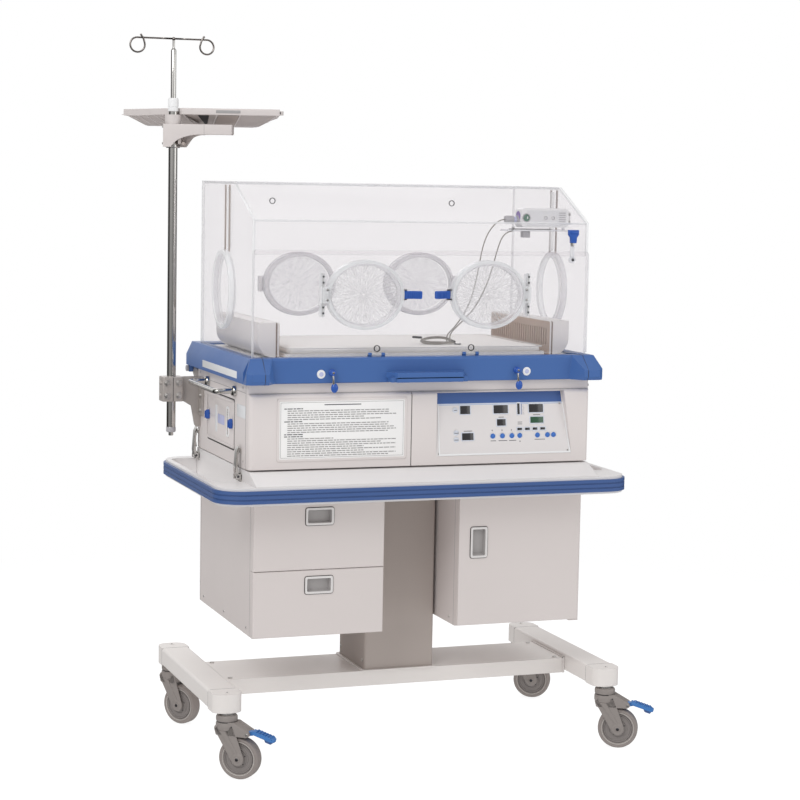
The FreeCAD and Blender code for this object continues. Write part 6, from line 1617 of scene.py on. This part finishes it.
# Hook rod: the bar's wire runs on round each loop and its tip crosses up over the bar
def hookParts(p):
    wire = "hookSteel"
    centre = (p.x, p.y, 0)
    rodLine = [(0.4, p.rodLow), (5.6, p.rodLow), (6.7, p.rodLow + 1.4), (6.7, p.rodHigh - 4), (5.6, p.rodHigh - 1),
            (3.4, p.rodHigh + 1), (3, p.rodHigh + 3), (3, p.hookZ - 1), (0.4, p.hookZ + 1)]
    yield lathe(rodLine, centre, "z", 48), "chrome"
    ball = [(0.3, p.hookZ + 4.4), (2.6, p.hookZ + 3.6), (4.2, p.hookZ + 1.6), (4.4, p.hookZ - 1), (3.2, p.hookZ - 4),
            (0.3, p.hookZ - 5)]
    yield lathe(ball, centre, "z", 32), wire
    for s in (-1, 1):
        angle = np.radians(np.linspace(90, 90 - 292, 40))
        span = p.span + (8 if s < 0 else 0)
        loop = np.stack([s * (span + p.loop * np.cos(angle)), np.linspace(0, -5.2, 40),
                p.hookZ - p.loop + p.loop * np.sin(angle)], 1)
        last = loop[-1]
        tip = last + np.array([[s * 1.6, -0.2, 6], [s * 4.4, -0.2, 12], [s * 8.4, 0.2, 17.5]])
        path = np.concatenate([[(0, 0, p.hookZ), (s * 40, 0, p.hookZ), (s * (span - 6), 0, p.hookZ)], loop, tip])
        line = tube(path + (p.x, p.y, 0), p.wire, 16)
        yield line, wire
        end = path[-1] + (p.x, p.y, 0)
        ballShape = lathe([(0.2, 3), (1.9, 2.4), (2.9, 0.6), (2.7, -1), (1.4, -2.6), (0.2, -2.8)], tuple(end), "z",
                20)
        yield ballShape, wire


makePiece("hookRod", "hook_rod", hookParts(pole), ["hook_rod"])
print("pole made")


# ---- bed: mattress, air ducts, and what lies on the mattress

bed = Sizes(half=333, front=-197, back=187, low=988.3, high=1008.3, voxel=0.006, pressure=4.0, swell=0.005, frames=20,
        start=3.0)


# Rounded slab as a grid of rings, drawn in a little before it is blown up
def padShape(b):
    inset = b.start
    rings = []
    for drop, out in ((0, -9), (0, -3), (2.2, 0), (6, 1.2), (10, 1.2), (14, 0), (16, -3), (16, -9)):
        grow = out - inset
        plan = roundRect(-b.half - grow, b.half + grow, b.front - grow, b.back + grow, 14, 8)
        rings.append([(x, y, b.high - 2.2 - drop) for x, y in plan])
    return capped(np.array(rings).reshape(-1, 3), len(rings[0]))


# Pressure in a cloth skin; no point moves further than swell, and none leaves the space of the CAD's pad
def blownUp(made, b):
    remesh = made.modifiers.new("even", "REMESH")
    remesh.mode = "VOXEL"
    remesh.voxel_size = b.voxel
    bpy.context.view_layer.update()
    even = bpy.data.meshes.new_from_object(made.evaluated_get(bpy.context.evaluated_depsgraph_get()))
    made.modifiers.clear()
    for kind in made.data.materials:
        even.materials.append(kind)
    made.data = even
    before = np.zeros(len(even.vertices) * 3)
    even.vertices.foreach_get("co", before)
    cloth = made.modifiers.new("cloth", "CLOTH")
    cloth.settings.use_pressure = True
    cloth.settings.uniform_pressure_force = b.pressure
    cloth.settings.effector_weights.gravity = 0
    cloth.settings.quality = 5
    scene = bpy.context.scene
    for frameNumber in range(1, b.frames + 1):
        scene.frame_set(frameNumber)
    blown = made.evaluated_get(bpy.context.evaluated_depsgraph_get()).to_mesh()
    after = np.zeros(len(blown.vertices) * 3)
    blown.vertices.foreach_get("co", after)
    made.modifiers.clear()
    move = (after - before).reshape(-1, 3)
    far = np.linalg.norm(move, axis=1)[:, None]
    move *= np.minimum(1, b.swell / np.maximum(far, 1e-9))
    place = before.reshape(-1, 3) + move
    place[:, 2] = np.clip(place[:, 2], b.low / 1000 + 0.0001, b.high / 1000)
    even.vertices.foreach_set("co", place.ravel())
    even.polygons.foreach_set("use_smooth", [True] * len(even.polygons))
    even.update()
    scene.frame_set(1)
    smooth = made.modifiers.new("fine", "SUBSURF")
    smooth.levels = smooth.render_levels = 1


pad = makePiece("mattressPad", "stand", [(padShape(bed), "mattress_cover")], ["mattress"],
        sharp=180)
blownUp(pad, bed)


def pipingParts(b):
    for z in (b.high - 2.2, b.low + 2.0):
        plan = roundRect(-b.half + 1.6, b.half - 1.6, b.front + 1.6, b.back - 1.6, 13, 8)
        line = np.array([(x, y, z) for x, y in plan + plan[:2]])
        yield tube(line, 1.3, 10), "mattress_cover"


makePiece("mattressPiping", "stand", pipingParts(bed), (), sharp=60)

duct = Sizes(inner=349, split=358, outer=402, low=984, high=1068, front=-190, back=190, round=40)


def ductParts(d):
    white = "ductWhite"
    r = d.round
    corner = [(d.outer - r + r * math.cos(a), d.low + r + r * math.sin(a)) for a in np.radians(np.linspace(-90, 0,
            12))]
    outline = [(d.split, d.low)] + corner + [(d.outer, d.high), (d.split, d.high)]
    yield cutPlate([outline], "y", d.front, d.back, 2.2, 3), white
    holes = [roundRect(y - 3, y + 3, d.low + 22, d.high - 18, 2.5) for y in np.arange(-168, 169, 14)]
    plate = [roundRect(d.front + 1, d.back - 1, d.low + 0.4, d.high - 1.5, 5)]
    yield cutPlate(plate + holes, "x", d.inner + 0.2, d.inner + 3.4, 0.5), "warmPanel"
    yield cutPlate(plate, "x", d.inner + 3.6, d.split + 0.5, 0.5), "ductShade"
    rim = [roundRect(d.front, d.back, d.low, d.high, 5), roundRect(d.front + 4, d.back - 4, d.low + 4, d.high - 4, 4)]
    yield cutPlate(rim, "x", d.inner + 1.4, d.inner + 5.4, 0.8, 2), white
    for y in (-172, 172):
        yield lathe([(0.3, d.high + 1.0), (3.0, d.high + 0.8), (3.8, d.high - 0.2)], (d.outer - 16, y, 0), "z",
                20), "steel"


moulded("ductShade", (0.20, 0.14, 0.11), rough=0.6, edge=0)
makePiece("airDucts", "stand", [*placed(ductParts(duct), (-1, 1, 1)), *ductParts(duct)], ["air_ducts"])
print("bed made")

# Leads: the two routes drawn in the part's source, each running on into the loose coil on the mattress
leadA = [(252, -120, 1316), (240, -120, 1316), (222, -122, 1303), (203, -125, 1280), (189, -130, 1246), (179, -136,
        1205), (168, -142, 1160), (154, -146, 1115), (134, -146, 1078), (112, -142, 1048), (97, -136, 1032), (97,
        -136, 1016.6)]
leadB = [(272, -128, 1298), (272, -128, 1288), (256, -128, 1286), (240, -130, 1272), (228, -134, 1244), (216, -138,
        1206), (204, -142, 1172), (188, -146, 1138), (164, -148, 1098), (140, -147, 1072), (118, -146, 1052), (103,
        -141, 1034), (103, -141, 1016.6)]
coilA = [(96, -137, 1012), (84, -147, 1010.4), (60, -152, 1010.4), (36, -146, 1011), (29, -130, 1015), (40, -114,
        1020), (70, -106, 1023), (104, -110, 1022), (122, -124, 1016), (116, -141, 1012), (92, -152, 1012.4), (58,
        -149, 1012.6), (37, -136, 1015), (36, -121, 1020), (62, -111, 1025), (96, -113, 1025.4), (114, -126, 1019),
        (104, -142, 1014), (70, -147, 1015), (44, -139, 1015.4), (33, -126, 1019), (40, -113, 1023.4)]
coilB = [(106, -144, 1012.4), (82, -153, 1011.6), (52, -152, 1011.6), (34, -139, 1013.6), (34, -122, 1018), (56, -109,
        1022), (90, -107, 1023.6), (114, -115, 1020), (120, -132, 1014), (100, -148, 1013.4), (64, -151, 1014), (42,
        -142, 1015.6), (38, -127, 1018.4), (60, -116, 1021.6), (92, -116, 1022.4), (108, -124, 1018), (106, -133,
        1014.4)]


# Line that a NURBS spline makes of a route, read back as points in millimetres
def routeLine(name, points):
    curve = bpy.data.curves.new(name, "CURVE")
    curve.dimensions = "3D"
    spline = curve.splines.new("NURBS")
    spline.points.add(len(points) - 1)
    for point, place in zip(spline.points, spot(points)):
        point.co = (*place, 1)
    spline.order_u = 3
    spline.use_endpoint_u = True
    spline.resolution_u = 10
    holder = bpy.data.objects.new(name, curve)
    mesh = bpy.data.meshes.new_from_object(holder)
    line = np.zeros(len(mesh.vertices) * 3)
    mesh.vertices.foreach_get("co", line)
    bpy.data.objects.remove(holder)
    bpy.data.meshes.remove(mesh)
    bpy.data.curves.remove(curve)
    return (line.reshape(-1, 3) - columnFoot) * 1000


def leadPiece(name, points, stands):
    line = routeLine(name, points)
    made = makePiece(name, None, [(tube(line, 1.5, 10), "lead_grey")], stands, sharp=180)
    inMetres = spot(line)
    length = float(np.linalg.norm(np.diff(inMetres, axis=0), axis=1).sum())
    tuple(spot((215, -125, 1290)))
    tuple(spot((115, -143, 1045)))
    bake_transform(made)
    return length


def probeParts(tip, ahead, radius, length, finish):
    tip, ahead = np.asarray(tip, float), np.asarray(ahead, float)
    ahead = ahead / np.linalg.norm(ahead)
    steps = [(-1, 0.62), (0, 0.75), (1.5, 1), (length - 3, 1), (length - 1, 0.8), (length, 0.35)]
    path = np.array([tip + ahead * at for at, _ in steps])
    return [(tube(path, np.array([radius * share for _, share in steps]), 16), finish)]


probeA = makePiece("probeA", "stand", probeParts((40, -113, 1023.4), (-1, 0.35, 0.05), 2.8, 24, "rubberBlack"), (),
        sharp=60)
probeB = makePiece("probeB", "stand", probeParts((106, -133, 1014.4), (1, -0.2, -0.02), 3.4, 15, "rubberBlack"), (),
        sharp=60)
lengthA = leadPiece("leadA", leadA + coilA, ["sensor_lead"])
lengthB = leadPiece("leadB", leadB + coilB, ["lead_coil"])
print("leads made, metres:", round(lengthA, 3), round(lengthB, 3))


# Disc sensor beside the coil
def discParts():
    ring = [(6.4, 1009.0), (8.2, 1009.0), (8.6, 1010), (8.0, 1011), (6.4, 1011), (6.4, 1009.0)]
    yield lathe(ring, (122, -146, 0), "z", 36), "rubberBlack"
    yield lathe([(0.3, 1009), (6.3, 1009), (6.3, 1010.6), (5, 1011.4), (0.3, 1011.6)], (122, -146, 0), "z",
            36), "whitePlastic"


makePiece("skinSensor", "stand", discParts(), ())


# ---- rear of the housing: inlet pins, screws of the filter cover, vent slots and the rating-plate blank

def rearParts():
    steel, dark = "steel", "gapDark"
    for x in (-80, 80):
        for z in (773, 862):
            yield lathe([(0.3, 254.4), (4.2, 254.2), (5.4, 252.4), (5.4, 251.5)], (x, 0, z), "y", 24), steel
    for x in (215, 225, 235):
        yield block(x - 1.2, x + 1.2, 240, 247, 774, 784), steel
    yield slab(206.5, 243.5, 769, 788, 3, "y", 238.5, 240.6, 0.2), dark
    yield cutPlate([roundRect(196, 254, 758, 799, 4), roundRect(199.6, 250.4, 761.6, 795.6, 2)], "y", 237.6, 239.6,
            0.7, 2), "greyPlastic"
    for row in range(7):
        for column in range(2):
            x0 = -330 + column * 84
            yield slab(x0, x0 + 70, 760 + 9 * row, 764 + 9 * row, 1.9, "y", 237.9, 238.4, 0.1), dark
    yield slab(300, 392, 768, 820, 3, "y", 237.8, 238.5, 0.2), "filmGrey"
    for k in range(5):
        yield block(306, 386 - 12 * (k % 3), 238.4, 238.7, 776 + 8 * k, 777.2 + 8 * k), "seamGrey"
    for s in (-1, 1):
        for z in (876, 900):
            yield lathe([(0.3, 241.6), (3.6, 241.4), (4.6, 240)], (s * 420, 0, z), "y", 6), steel
    socket = [(9, 237.5), (12, 238.4), (12, 241), (10.6, 242), (8.4, 242), (8.4, 238.6), (0.4, 238.6)]
    yield lathe(socket, (286, 0, 782), "y", 32), "greyPlastic"


makePiece("rearFittings", "stand", rearParts(), ())


def hingeParts():
    for s in (-1, 1):
        bracket = [(238.2, 868), (238.2, 918), (286, 926.5), (292, 926.9), (297, 924), (299, 918), (297, 911), (290,
                909)]
        yield cutPlate([bracket], "x", s * 426.9, s * 436.9, 1.2, 2), "pole_alloy"
        pin = [(0.4, s * 427), (4, s * 427), (4, s * 447.2)]
        yield lathe(pin + [(0.4, s * 447.2)], (0, 290, 918), "x", 32), "steel"
        knob = [(0.4, s * 447.1), (7, s * 447.1), (8, s * 448.2), (8, s * 452.6), (6.8, s * 454), (0.4, s * 454.1)]
        yield lathe(knob, (0, 290, 918), "x", 12), "greyPlastic"


makePiece("hoodHinges", "stand", hingeParts(), ["hood_hinges"])
print("rear made")
